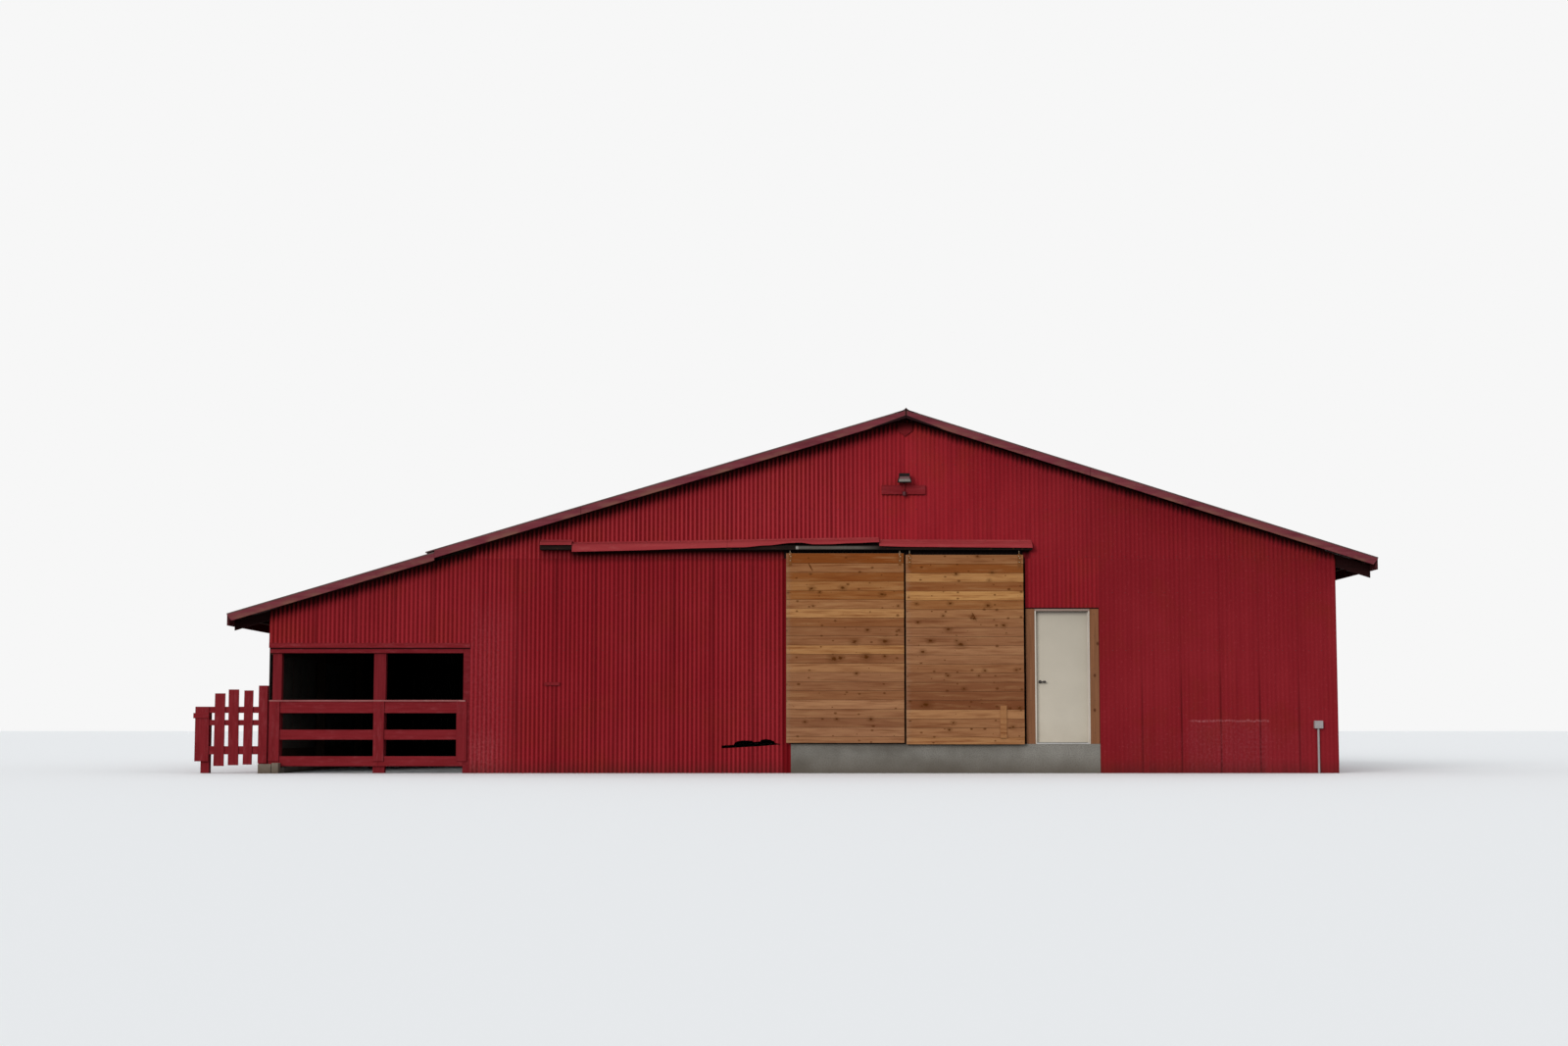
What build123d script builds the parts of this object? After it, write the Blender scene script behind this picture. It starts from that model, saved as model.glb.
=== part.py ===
from build123d import *
import os
from math import cos, radians, sin, tan

# A red corrugated-metal pole barn: a gabled main hall with two sliding plank leaves and an
# entry door in the front gable, an open-fronted lean-to on its left, and a board fence wing.
# Millimetres. While it is modelled, X = 0 is the ridge line, Y = 0 the outer face of the front
# siding, and Z = 0 the lowest ground that the building and its fence meet.

# Main hall
HALF_SPAN = 6706.0
BAY_LENGTH = 3658.0
BAY_COUNT = 4
RIDGE_HEIGHT = 5630.0
RIGHT_PITCH = 17.49
LEFT_PITCH = 16.65
GABLE_OVERHANG = 300.0
RIGHT_EAVE_OVERHANG = 560.0
LEFT_EAVE_OVERHANG = 734.0
SIDING_CORNER_LAP = 58.0
RIDGE_CAP_WING = 190.0
RIDGE_CAP_RISE = 22.0
RIDGE_CAP_STEEL = 4.0

# Lean-to
LEAN_WIDTH = 3180.0
LEAN_DROP = 40.0
LEAN_EAVE_OVERHANG = 560.0
LEAN_SHEET_LAP = 140.0
LEAN_HEADER_DROP = 781.0
LEAN_SIDING_LAP = 83.0
JAMB_FACE = 106.0

# Stock
SHEET_DEPTH = 20.0
SIDING_DEPTH = 18.0
LUMBER = 38.0
BOARD = 19.0
POST = 140.0
GIRT_HEIGHT = 140.0
SKIRT_HEIGHT = 235.0
PURLIN_DEPTH = 89.0
PURLIN_PITCH = 680.0
RIDGE_PURLIN = 120.0
RAFTER_DEPTH = 184.0
LEAN_RAFTER_DEPTH = 140.0
RAKE_DEPTH = 110.0
FASCIA_HEIGHT = 165.0
DRIP_EDGE = 40.0

# Levels
FOOTING_WIDTH = 200.0
FOOTING_TOP = 370.0
LEAN_FOOTING_TOP = 90.0
THRESHOLD_TOP = 450.0
SKIRT_BOTTOM = 135.0
SEAM_DROP = 191.0
EAVE_GIRT_DROP = 256.0
TIE_DROP = 56.0
GIRT_SHARES = (0.30, 0.57, 0.84)
GABLE_GIRT_SHARES = (0.336, 0.64)

# Sliding doorway and its two leaves
DOORWAY_LEFT = -1790.0
DOORWAY_RIGHT = 1863.0
LEAF_WIDTH = 1829.0
LEAF_HANG = 55.0
LEAF_CLEARANCE = 16.0
LEAF_MIDDLE = -20.0
LEAF_GAP = 28.0
RIGHT_LEAF_DROP = 22.0
LEAF_STANDOFF = 55.0
LEAF_RAIL = 140.0
HANGER_INSET = 62.0
BATTEN_WIDTH = 103.0
BATTEN_LENGTH = 503.0
BATTEN_INSET = 275.0
BATTEN_RISE = 94.0

# Track
TRACK_REACH_LEFT = 3900.0
TRACK_REACH_RIGHT = 103.0
TRACK_RISE = 196.0
TRACK_HEIGHT = 67.0
TRACK_WIDTH = 48.0
TRACK_WALL = 3.0
TRACK_SLOT = 18.0
TRACK_BOARD_HEIGHT = 89.0
TRACK_BOARD_RISE = 20.0
BRACKET_COUNT = 9
BRACKET_WIDTH = 40.0
BRACKET_STEEL = 5.0
BRACKET_INSET = 150.0
BRACKET_LEG = 55.0
WHEEL_RADIUS = 16.0
WHEEL_WIDTH = 11.0
WHEEL_SPACING = 44.0
TROLLEY_WIDTH = 14.0
TROLLEY_HEIGHT = 16.0
PENDANT_RADIUS = 6.0
STRAP_WIDTH = 45.0
STRAP_STEEL = 5.0
STRAP_DROP = 190.0
RUN_CLEARANCE = 0.3

# Track cover: lengths of bent sheet, each a run of places along it. A place has its distance from
# the rail's left end, and the heights of its top, its bend and its foot over the rail's top
COVER_STEEL = 4.0
COVER_UPSTAND = 20.0
COVER_BEND = 118.0
COVER_REACH = 160.0
COVER_LAST = (97.0, 24.0, -40.0)
COVER_LENGTHS = (
    ((0.0, 96.0, 46.0, 1.0), (496.0, 95.0, 46.0, 2.0)),
    ((500.0, 58.0, 22.0, -106.0), (1614.0, 75.0, 26.0, -80.0), (2374.0, 87.0, 30.0, -52.0),
     (2908.0, 96.0, 36.0, -38.0)),
    ((2912.0, 97.0, 36.0, -37.0), (3139.0, 101.0, 40.0, -35.0), (3519.0, 109.0, 50.0, -5.0),
     (3915.0, 117.0, 70.0, 34.0), (4036.0, 119.0, 73.0, 40.0), (4265.0, 123.0, 62.0, 13.0),
     (4478.0, 126.0, 62.0, 14.0), (4858.0, 131.0, 76.0, 31.0), (5270.0, 137.0, 88.0, 47.0)),
    ((5274.0, 104.0, 34.0, -12.0), (5665.0, 102.0, 30.0, -26.0)))

# Entry door
ENTRY_LEFT = 2003.0
ENTRY_SLAB_WIDTH = 804.0
ENTRY_SLAB_HEIGHT = 2032.0
ENTRY_SLAB_THICKNESS = 44.0
ENTRY_SLAB_BOTTOM = 474.0
ENTRY_JAMB = 19.0
ENTRY_HEAD = 30.0
ENTRY_GAP = 5.0
ENTRY_PROUD = 5.0
ENTRY_DEPTH = 130.0
ENTRY_STOP = 12.0
SILL_HEIGHT = 18.0
CASING_WIDTH = 140.0
LEVER_HEIGHT = 935.0
LEVER_BACKSET = 60.0
LEVER_LENGTH = 100.0
LEVER_HEEL = 12.0
LEVER_THICKNESS = 18.0
LEVER_ROUNDING = 8.0
LEVER_REACH = 60.0
LEVER_GRIP = 16.0
ROSE_RADIUS = 26.0
ROSE_DEPTH = 8.0
SPINDLE_RADIUS = 7.5
SPINDLE_FIT = 0.5
HINGE_RADIUS = 7.0
HINGE_LENGTH = 90.0
HINGE_PIN_RADIUS = 3.5
HINGE_PIN_FIT = 0.1
HINGE_INSET = 230.0
HINGE_LEAF_WIDTH = 20.0
HINGE_STEEL = 2.0
HINGE_PLAY = 0.5
HINGE_LEAF_GAP = 3.0
HINGE_MORTISE = 2.0

# Bay fence and fence wing
BAY_POST_SHARE = 0.569
BAY_POST_WIDTH = 184.0
FENCE_RAIL_BOTTOMS = (107.0, 515.0, 925.0)
FENCE_RAIL_HEIGHT = 153.0
FENCE_CAP_TOP = 1127.0
FENCE_CAP_THICKNESS = 25.0
FENCE_CAP_LAP = 36.0
FENCE_BATTEN_WIDTH = 164.0
FENCE_BATTEN_BOTTOM = 182.0
FENCE_BATTEN_SHIFT = 16.4
WING_LENGTH = 1119.0
WING_POST_INSET = 84.0
WING_POST_WIDTH = 130.0
WING_POST_TOP = 1020.0
WING_TALL = 1350.0
WING_BOARDS = ((0.0, 214.0, 182.0, 1024.0), (297.0, 160.0, 110.0, 1230.0),
               (514.0, 160.0, 122.0, 1290.0), (749.0, 140.0, 132.0, 1275.0),
               (976.0, 138.0, 152.0, WING_TALL))
WING_RAILS = ((289.0, 127.0), (735.0, 85.0), (927.0, 97.0))
WING_CLEAT_OVERHANG = 25.0
WING_CLEAT_LENGTH = 240.0
WING_CLEAT_BOTTOM = 845.0
WING_CLEAT_HEIGHT = 82.0
STONES = ((-110.0, 98.0, 143.0), (100.0, 211.0, 160.0))
STONE_DEPTH = 170.0

# Small things on the front
PLATE_WIDTH = 228.0
PLATE_SIDE_DROP = 300.0
PLATE_TIP_DROP = 389.0
LIGHT_BOARD_LEFT = -372.0
LIGHT_BOARD_RIGHT = 312.0
LIGHT_BOARD_DROP = 1302.0
LIGHT_BOARD_HEIGHT = 145.0
LAMP_X = -21.0
LAMP_WIDTH = 216.0
LAMP_DEPTH = 120.0
LAMP_HEIGHT = 148.0
LAMP_RISE = 172.0
LAMP_STANDOFF = 30.0
LAMP_SHELL = 6.0
LENS_RISE = 10.0
LENS_DEPTH = 50.0
LAMP_ARM_WIDTH = 24.0
SENSOR_NECK_WIDTH = 16.0
SENSOR_RADIUS = 30.0
SENSOR_HEIGHT = 70.0
SENSOR_DROP = 28.0
BAR_INSET = 80.0
BAR_LENGTH = 235.0
BAR_BOTTOM = 1350.0
BAR_HEIGHT = 50.0
BAR_DEPTH = 20.0
METER_INSET = 253.0
METER_WIDTH = 132.0
METER_DEPTH = 62.0
METER_BOTTOM = 689.0
METER_HEIGHT = 119.0
METER_ROUNDING = 8.0
CONDUIT_RADIUS = 17.0
CONDUIT_STANDOFF = 20.0
ROT_GAP = ((-1068.0, 382.0), (-137.0, 442.0), (-247.0, 470.0), (-368.0, 512.0), (-450.0, 530.0),
           (-476.0, 489.0), (-599.0, 503.0), (-856.0, 489.0), (-925.0, 435.0), (-1068.0, 429.0))

# Derived lines
LENGTH = BAY_LENGTH * BAY_COUNT
GIRT_Y = SIDING_DEPTH
POST_Y = SIDING_DEPTH + LUMBER
POST_BACK = POST_Y + POST
LEAN_WALL = -HALF_SPAN - LEAN_WIDTH
RIGHT_TAIL = HALF_SPAN + RIGHT_EAVE_OVERHANG
LEFT_TAIL = HALF_SPAN + LEFT_EAVE_OVERHANG
LEAN_TAIL = -LEAN_WALL + LEAN_EAVE_OVERHANG
ROOF_RIGHT = RIGHT_TAIL + DRIP_EDGE
LEAN_TOP = LEFT_TAIL - LEAN_SHEET_LAP
PURLIN_TOP = SHEET_DEPTH
RAFTER_TOP = PURLIN_TOP + PURLIN_DEPTH
RAFTER_BASE = RAFTER_TOP + RAFTER_DEPTH
SEAM_HEIGHT = RIDGE_HEIGHT - tan(radians(RIGHT_PITCH)) * HALF_SPAN - SEAM_DROP
EAVE_GIRT_BOTTOM = SEAM_HEIGHT - EAVE_GIRT_DROP
TIE_TOP = SEAM_HEIGHT - TIE_DROP
GIRT_LEVELS = [share * SEAM_HEIGHT for share in GIRT_SHARES]
GABLE_GIRT_LEVELS = [SEAM_HEIGHT + share * (RIDGE_HEIGHT - SEAM_HEIGHT)
                     for share in GABLE_GIRT_SHARES]
LEAN_RAFTER_BASE = RAFTER_TOP + LEAN_RAFTER_DEPTH
FRAME_Y = [BAY_LENGTH * i for i in range(1, BAY_COUNT)]
SIDING_LEFT = -HALF_SPAN - SIDING_CORNER_LAP
JAMB_LEFT = SIDING_LEFT - JAMB_FACE
BAY_POST_X = LEAN_WALL + BAY_POST_SHARE * (JAMB_LEFT - LEAN_WALL)
LEAN_EAVE = RIDGE_HEIGHT - LEAN_DROP + tan(radians(LEFT_PITCH)) * LEAN_WALL
LEAN_HEADER_Z = LEAN_EAVE - LEAN_HEADER_DROP
LEAN_SIDING_Z = LEAN_HEADER_Z + LEAN_SIDING_LAP
WING_END = LEAN_WALL - WING_LENGTH
LEAF_THICKNESS = BOARD + LUMBER
LEAF_BACK = -LEAF_STANDOFF
LEAF_FRONT = LEAF_BACK - LEAF_THICKNESS
LEAF_CENTRE = (LEAF_BACK + LEAF_FRONT) / 2
TRACK_LEFT = DOORWAY_LEFT - TRACK_REACH_LEFT
TRACK_RIGHT = DOORWAY_RIGHT + TRACK_REACH_RIGHT
TRACK_TOP = SEAM_HEIGHT + TRACK_RISE
TRACK_BASE = TRACK_TOP - TRACK_HEIGHT
TRACK_BOARD_TOP = TRACK_TOP + TRACK_BOARD_RISE
LEAF_TOP = TRACK_BASE - LEAF_HANG
LEAF_HEIGHT = LEAF_TOP - THRESHOLD_TOP - LEAF_CLEARANCE
LIGHT_BOARD_BOTTOM = RIDGE_HEIGHT - LIGHT_BOARD_DROP
ENTRY_WIDTH = ENTRY_SLAB_WIDTH + 2 * (ENTRY_GAP + ENTRY_JAMB)
ENTRY_RIGHT = ENTRY_LEFT + ENTRY_WIDTH
ENTRY_SLAB_LEFT = ENTRY_LEFT + ENTRY_JAMB + ENTRY_GAP
ENTRY_SLAB_TOP = ENTRY_SLAB_BOTTOM + ENTRY_SLAB_HEIGHT
ENTRY_HEAD_Z = ENTRY_SLAB_TOP + ENTRY_GAP
ENTRY_TOP = ENTRY_HEAD_Z + ENTRY_HEAD
ENTRY_BACK = ENTRY_DEPTH - ENTRY_PROUD
ENTRY_SLAB_BACK = ENTRY_BACK - 2.0
ENTRY_SLAB_FRONT = ENTRY_SLAB_BACK - ENTRY_SLAB_THICKNESS
ENTRY_POST_RIGHT = ENTRY_RIGHT + 4.0
CASING_RIGHT = ENTRY_POST_RIGHT + CASING_WIDTH
SIDING_RIGHT_START = CASING_RIGHT + 6.0
HINGE_X = ENTRY_SLAB_LEFT + ENTRY_SLAB_WIDTH + ENTRY_GAP / 2
HINGE_Y = ENTRY_BACK + HINGE_RADIUS + RUN_CLEARANCE
ORIGIN_X = (WING_END - WING_CLEAT_OVERHANG + ROOF_RIGHT) / 2
ORIGIN_Y = LENGTH / 2


def box(x0, x1, y0, y1, z0, z1):
    """A box between two opposite corners."""
    size = Box(x1 - x0, y1 - y0, z1 - z0, align=(Align.MIN, Align.MIN, Align.MIN))
    return Pos(x0, y0, z0) * size


def prism(points, y0, y1):
    """An upright outline in X and Z, run from y0 to y1."""
    face = make_face(Polyline(*points, close=True))
    return extrude(Plane.XZ.offset(-y1) * face, amount=y1 - y0)


def pitch_at(side):
    """The roof's pitch right (over 0) or left of the ridge: the right slope is a little steeper."""
    return radians(RIGHT_PITCH if side > 0 else LEFT_PITCH)


def roof_z(x, depth=0.0, drop=0.0, side=0):
    """Height of the line that lies a depth below the roof's top face, at a place across."""
    pitch = pitch_at(side or x)
    return RIDGE_HEIGHT - drop - tan(pitch) * abs(x) - depth / cos(pitch)


def band(x0, x1, top, base, drop=0.0):
    """A strip that follows one roof slope between two plumb cuts."""
    side = x0 + x1
    return [(x0, roof_z(x0, top, drop, side)), (x1, roof_z(x1, top, drop, side)),
            (x1, roof_z(x1, base, drop, side)), (x0, roof_z(x0, base, drop, side))]


def under_roof(x0, x1, z0, depth, drop=0.0):
    """An upright outline on z0 whose top follows the roof, with a peak where it spans it."""
    points = [(x0, z0), (x1, z0), (x1, roof_z(x1, depth, drop))]
    if x0 < 0 < x1:
        points.append((0, roof_z(0, depth, drop, 1)))
    points.append((x0, roof_z(x0, depth, drop)))
    return points


def purlin_outline(x, drop=0.0):
    """A purlin on edge, square to the slope, with its top face centred at x."""
    side = 1 if x > 0 else -1
    pitch = pitch_at(side)
    along = Vector(cos(pitch) * side, -sin(pitch)) * (LUMBER / 2)
    inward = Vector(-sin(pitch) * side, -cos(pitch)) * PURLIN_DEPTH
    top = Vector(x, roof_z(x, PURLIN_TOP, drop))
    corners = [top - along, top + along, top + along + inward, top - along + inward]
    return [(corner.X, corner.Y) for corner in corners]


def spaced(first, last, pitch):
    """Evenly spaced places from first to last, at most a pitch apart."""
    gaps = int(abs(last - first) / pitch) + 1
    return [first + (last - first) * i / gaps for i in range(gaps + 1)]


def frame_bands(width, offset=0.0):
    """Y ranges of the members on every frame line, offset away from the front."""
    front = (POST_Y + offset, POST_Y + offset + width)
    rear = (LENGTH - front[1], LENGTH - front[0])
    middle = [(y - width / 2 + offset, y + width / 2 + offset) for y in FRAME_Y]
    return [front] + middle + [rear]


def footings():
    """Concrete strips under the end walls and along the post lines."""
    inner = HALF_SPAN - POST_Y
    front = box(-inner, inner, POST_Y, POST_Y + FOOTING_WIDTH, 0, FOOTING_TOP)
    sill = box(DOORWAY_LEFT, SIDING_RIGHT_START, 0, POST_Y + FOOTING_WIDTH, 0, THRESHOLD_TOP)
    rear = box(-inner, inner, LENGTH - POST_Y - FOOTING_WIDTH, LENGTH - POST_Y, 0, FOOTING_TOP)
    y0 = POST_Y + FOOTING_WIDTH
    sides = [box(x, x + FOOTING_WIDTH, y0, LENGTH - y0, 0, FOOTING_TOP)
             for x in (-inner, inner - FOOTING_WIDTH)]
    lean = LEAN_WALL + POST_Y
    sides.append(box(lean, lean + FOOTING_WIDTH, POST_Y, LENGTH - POST_Y, 0, LEAN_FOOTING_TOP))
    return {"end_footings": [front + sill, rear], "side_footings": sides}


def end_posts():
    """Posts of the front and rear walls between the corners, cut to the rafters above."""
    posts = []
    lines = (((DOORWAY_LEFT - HALF_SPAN - POST) / 2, FOOTING_TOP),
             (DOORWAY_LEFT - POST, FOOTING_TOP), (DOORWAY_RIGHT, THRESHOLD_TOP),
             (ENTRY_POST_RIGHT, THRESHOLD_TOP),
             ((SIDING_RIGHT_START + HALF_SPAN - POST) / 2, FOOTING_TOP))
    for x, z in lines:
        posts.append(prism(under_roof(x, x + POST, z, RAFTER_BASE), POST_Y, POST_BACK))
    for x in (-HALF_SPAN / 2, 0.0, HALF_SPAN / 2):
        outline = under_roof(x - POST / 2, x + POST / 2, FOOTING_TOP, RAFTER_BASE)
        posts.append(prism(outline, LENGTH - POST_BACK, LENGTH - POST_Y))
    jamb = under_roof(JAMB_LEFT, JAMB_LEFT + POST, 0, RAFTER_BASE)
    posts.append(prism(jamb, POST_Y, POST_BACK))
    half = BAY_POST_WIDTH / 2
    middle = under_roof(BAY_POST_X - half, BAY_POST_X + half, 0, LEAN_RAFTER_BASE, LEAN_DROP)
    posts.append(prism(middle, POST_Y, POST_BACK))
    return posts


def side_posts():
    """Posts along the right wall, the open line beside the lean-to, and the lean-to's wall."""
    inner = HALF_SPAN - POST_Y
    lean = LEAN_WALL + POST_Y
    posts = []
    for y0, y1 in frame_bands(POST):
        posts.append(prism(under_roof(inner - POST, inner, FOOTING_TOP, RAFTER_BASE), y0, y1))
        posts.append(prism(under_roof(-inner, POST - inner, FOOTING_TOP, RAFTER_BASE), y0, y1))
        outline = under_roof(lean, lean + POST, LEAN_FOOTING_TOP, LEAN_RAFTER_BASE, LEAN_DROP)
        posts.append(prism(outline, y0, y1))
    return posts


def end_girts():
    """Girts, skirts, headers and door nailers behind the front and rear siding."""
    inner = HALF_SPAN - SIDING_DEPTH
    front, back = GIRT_Y, POST_Y
    left_nailer = DOORWAY_LEFT - POST
    header = SEAM_HEIGHT - GIRT_HEIGHT / 2
    girts = [box(-inner, inner, front, back, header, header + GIRT_HEIGHT),
             box(ENTRY_LEFT, ENTRY_POST_RIGHT, front, back, ENTRY_TOP, ENTRY_TOP + GIRT_HEIGHT)]
    for x in (left_nailer, DOORWAY_RIGHT, ENTRY_POST_RIGHT):
        base = FOOTING_TOP if x == left_nailer else THRESHOLD_TOP
        girts.append(box(x, x + POST, front, back, base, header))
    spans = ((-inner, left_nailer), (SIDING_RIGHT_START, inner))
    for x0, x1 in spans:
        girts.append(box(x0, x1, front, back, SKIRT_BOTTOM, SKIRT_BOTTOM + SKIRT_HEIGHT))
        for z in GIRT_LEVELS:
            girts.append(box(x0, x1, front, back, z - GIRT_HEIGHT / 2, z + GIRT_HEIGHT / 2))
    for z in GABLE_GIRT_LEVELS:
        left, right = [(roof_z(0, RAFTER_TOP, 0, side) - z - GIRT_HEIGHT / 2)
                       / tan(pitch_at(side)) for side in (-1, 1)]
        for y in (front, LENGTH - back):
            girts.append(box(-left, right, y, y + LUMBER, z - GIRT_HEIGHT / 2,
                             z + GIRT_HEIGHT / 2))
    rear_left = LEAN_WALL + SIDING_DEPTH
    y0, y1 = LENGTH - back, LENGTH - front
    girts.append(box(rear_left, inner, y0, y1, SKIRT_BOTTOM, SKIRT_BOTTOM + SKIRT_HEIGHT))
    for z in GIRT_LEVELS[:2]:
        girts.append(box(rear_left, inner, y0, y1, z - GIRT_HEIGHT / 2, z + GIRT_HEIGHT / 2))
    for z in (GIRT_LEVELS[2], SEAM_HEIGHT):
        girts.append(box(-inner, inner, y0, y1, z - GIRT_HEIGHT / 2, z + GIRT_HEIGHT / 2))
    return girts


def side_girts():
    """Girts and skirts of the right wall and of the lean-to's outer wall."""
    y0, y1 = POST_Y, LENGTH - POST_Y
    right = HALF_SPAN - POST_Y
    lean = LEAN_WALL + SIDING_DEPTH
    girts = []
    for x, levels in ((right, GIRT_LEVELS), (lean, GIRT_LEVELS[:2])):
        girts.append(box(x, x + LUMBER, y0, y1, SKIRT_BOTTOM, SKIRT_BOTTOM + SKIRT_HEIGHT))
        for z in levels:
            girts.append(box(x, x + LUMBER, y0, y1, z - GIRT_HEIGHT / 2, z + GIRT_HEIGHT / 2))
    girts.append(box(right, right + LUMBER, y0, y1, EAVE_GIRT_BOTTOM,
                     EAVE_GIRT_BOTTOM + GIRT_HEIGHT))
    return girts


def rafters():
    """Sloping rafters on every frame line; the lean-to's are lapped beside the main ones."""
    main = []
    for y0, y1 in frame_bands(LUMBER):
        main.append(prism(band(RUN_CLEARANCE, RIGHT_TAIL, RAFTER_TOP, RAFTER_BASE), y0, y1))
        main.append(prism(band(LUMBER - LEAN_TOP, 0, RAFTER_TOP, RAFTER_BASE), y0, y1))
    lap = POST_BACK - HALF_SPAN
    lean = []
    for y0, y1 in frame_bands(LUMBER, LUMBER):
        lean.append(prism(band(-LEAN_TAIL, lap, RAFTER_TOP, LEAN_RAFTER_BASE, LEAN_DROP), y0, y1))
    return {"hall_rafters": main, "lean_rafters": lean}


def truss_members():
    """Tie beams between the posts of the inner frames, with upright struts to the rafters."""
    inner = HALF_SPAN - POST_BACK
    ties = []
    struts = []
    for y in FRAME_Y:
        y0, y1 = y - LUMBER / 2, y + LUMBER / 2
        ties.append(box(-inner, inner, y0, y1, TIE_TOP - RAFTER_DEPTH, TIE_TOP))
        for x in (-2 * inner / 3, -inner / 3, 0.0, inner / 3, 2 * inner / 3):
            outline = under_roof(x - POST / 2, x + POST / 2, TIE_TOP, RAFTER_BASE)
            struts.append(prism(outline, y0, y1))
    return {"tie_beams": ties, "truss_struts": struts}


def purlins():
    """Purlins on edge over the rafters, from one rake board to the other."""
    y0 = LUMBER - GABLE_OVERHANG
    bars = []
    for x in spaced(RIDGE_PURLIN, RIGHT_TAIL - 2 * LUMBER, PURLIN_PITCH):
        bars.append(prism(purlin_outline(x), y0, LENGTH - y0))
    for x in spaced(RIDGE_PURLIN, LEAN_TOP - 2 * LUMBER, PURLIN_PITCH):
        bars.append(prism(purlin_outline(-x), y0, LENGTH - y0))
    for x in spaced(LEAN_TOP + 3 * LUMBER, LEAN_TAIL - 2 * LUMBER, PURLIN_PITCH):
        bars.append(prism(purlin_outline(-x, LEAN_DROP), y0, LENGTH - y0))
    return bars


def roof_sheets():
    """Roof sheeting, one slab a slope, at the depth of its corrugations."""
    y0, y1 = -GABLE_OVERHANG, LENGTH + GABLE_OVERHANG
    right = prism(band(0, ROOF_RIGHT, 0, SHEET_DEPTH), y0, y1)
    left = prism(band(-LEFT_TAIL, 0, 0, SHEET_DEPTH), y0, y1)
    lean = prism(band(-LEAN_TAIL - DRIP_EDGE, -LEAN_TOP, 0, SHEET_DEPTH, LEAN_DROP), y0, y1)
    return {"right_roof": [right], "left_roof": [left], "lean_roof": [lean]}


def ridge_cap():
    """A bent cap over the joint of the two slopes, folded a little steeper than they are."""
    wing = RIDGE_CAP_WING
    left, right = roof_z(-wing) + RUN_CLEARANCE, roof_z(wing) + RUN_CLEARANCE
    peak = RIDGE_HEIGHT + RUN_CLEARANCE + RIDGE_CAP_RISE
    steel = RIDGE_CAP_STEEL
    points = [(-wing, left), (0, peak), (wing, right), (wing, right + steel),
              (0, peak + steel), (-wing, left + steel)]
    return prism(points, -GABLE_OVERHANG, LENGTH + GABLE_OVERHANG)


def rake_boards():
    """Rake boards on the purlin ends, under the edge of the sheeting."""
    base = PURLIN_TOP + RAKE_DEPTH
    rakes = []
    for y0 in (-GABLE_OVERHANG, LENGTH + GABLE_OVERHANG - LUMBER):
        y1 = y0 + LUMBER
        rakes.append(prism(band(RUN_CLEARANCE, RIGHT_TAIL + LUMBER, PURLIN_TOP, base), y0, y1))
        rakes.append(prism(band(-LEAN_TOP, 0, PURLIN_TOP, base), y0, y1))
        rakes.append(prism(band(-LEAN_TAIL - LUMBER, -LEAN_TOP - RUN_CLEARANCE, PURLIN_TOP, base,
                                LEAN_DROP), y0, y1))
    return rakes


def eave_fascias():
    """Fascia boards on the rafter tails of both outer eaves."""
    boards = []
    y0, y1 = LUMBER - GABLE_OVERHANG, LENGTH + GABLE_OVERHANG - LUMBER
    for x0, drop in ((RIGHT_TAIL, 0.0), (-LEAN_TAIL, LEAN_DROP)):
        x1 = x0 + LUMBER if x0 > 0 else x0 - LUMBER
        outline = [(x0, roof_z(x0, SHEET_DEPTH, drop)), (x1, roof_z(x1, SHEET_DEPTH, drop)),
                   (x1, roof_z(x1, SHEET_DEPTH, drop) - FASCIA_HEIGHT),
                   (x0, roof_z(x1, SHEET_DEPTH, drop) - FASCIA_HEIGHT)]
        boards.append(prism(outline, y0, y1))
    return boards


def rotted_gap():
    """The ragged gap rusted through the foot of the front siding."""
    outline = [(DOORWAY_LEFT + x, z) for x, z in ROT_GAP]
    return prism(outline, -SIDING_DEPTH, 2 * SIDING_DEPTH)


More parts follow.
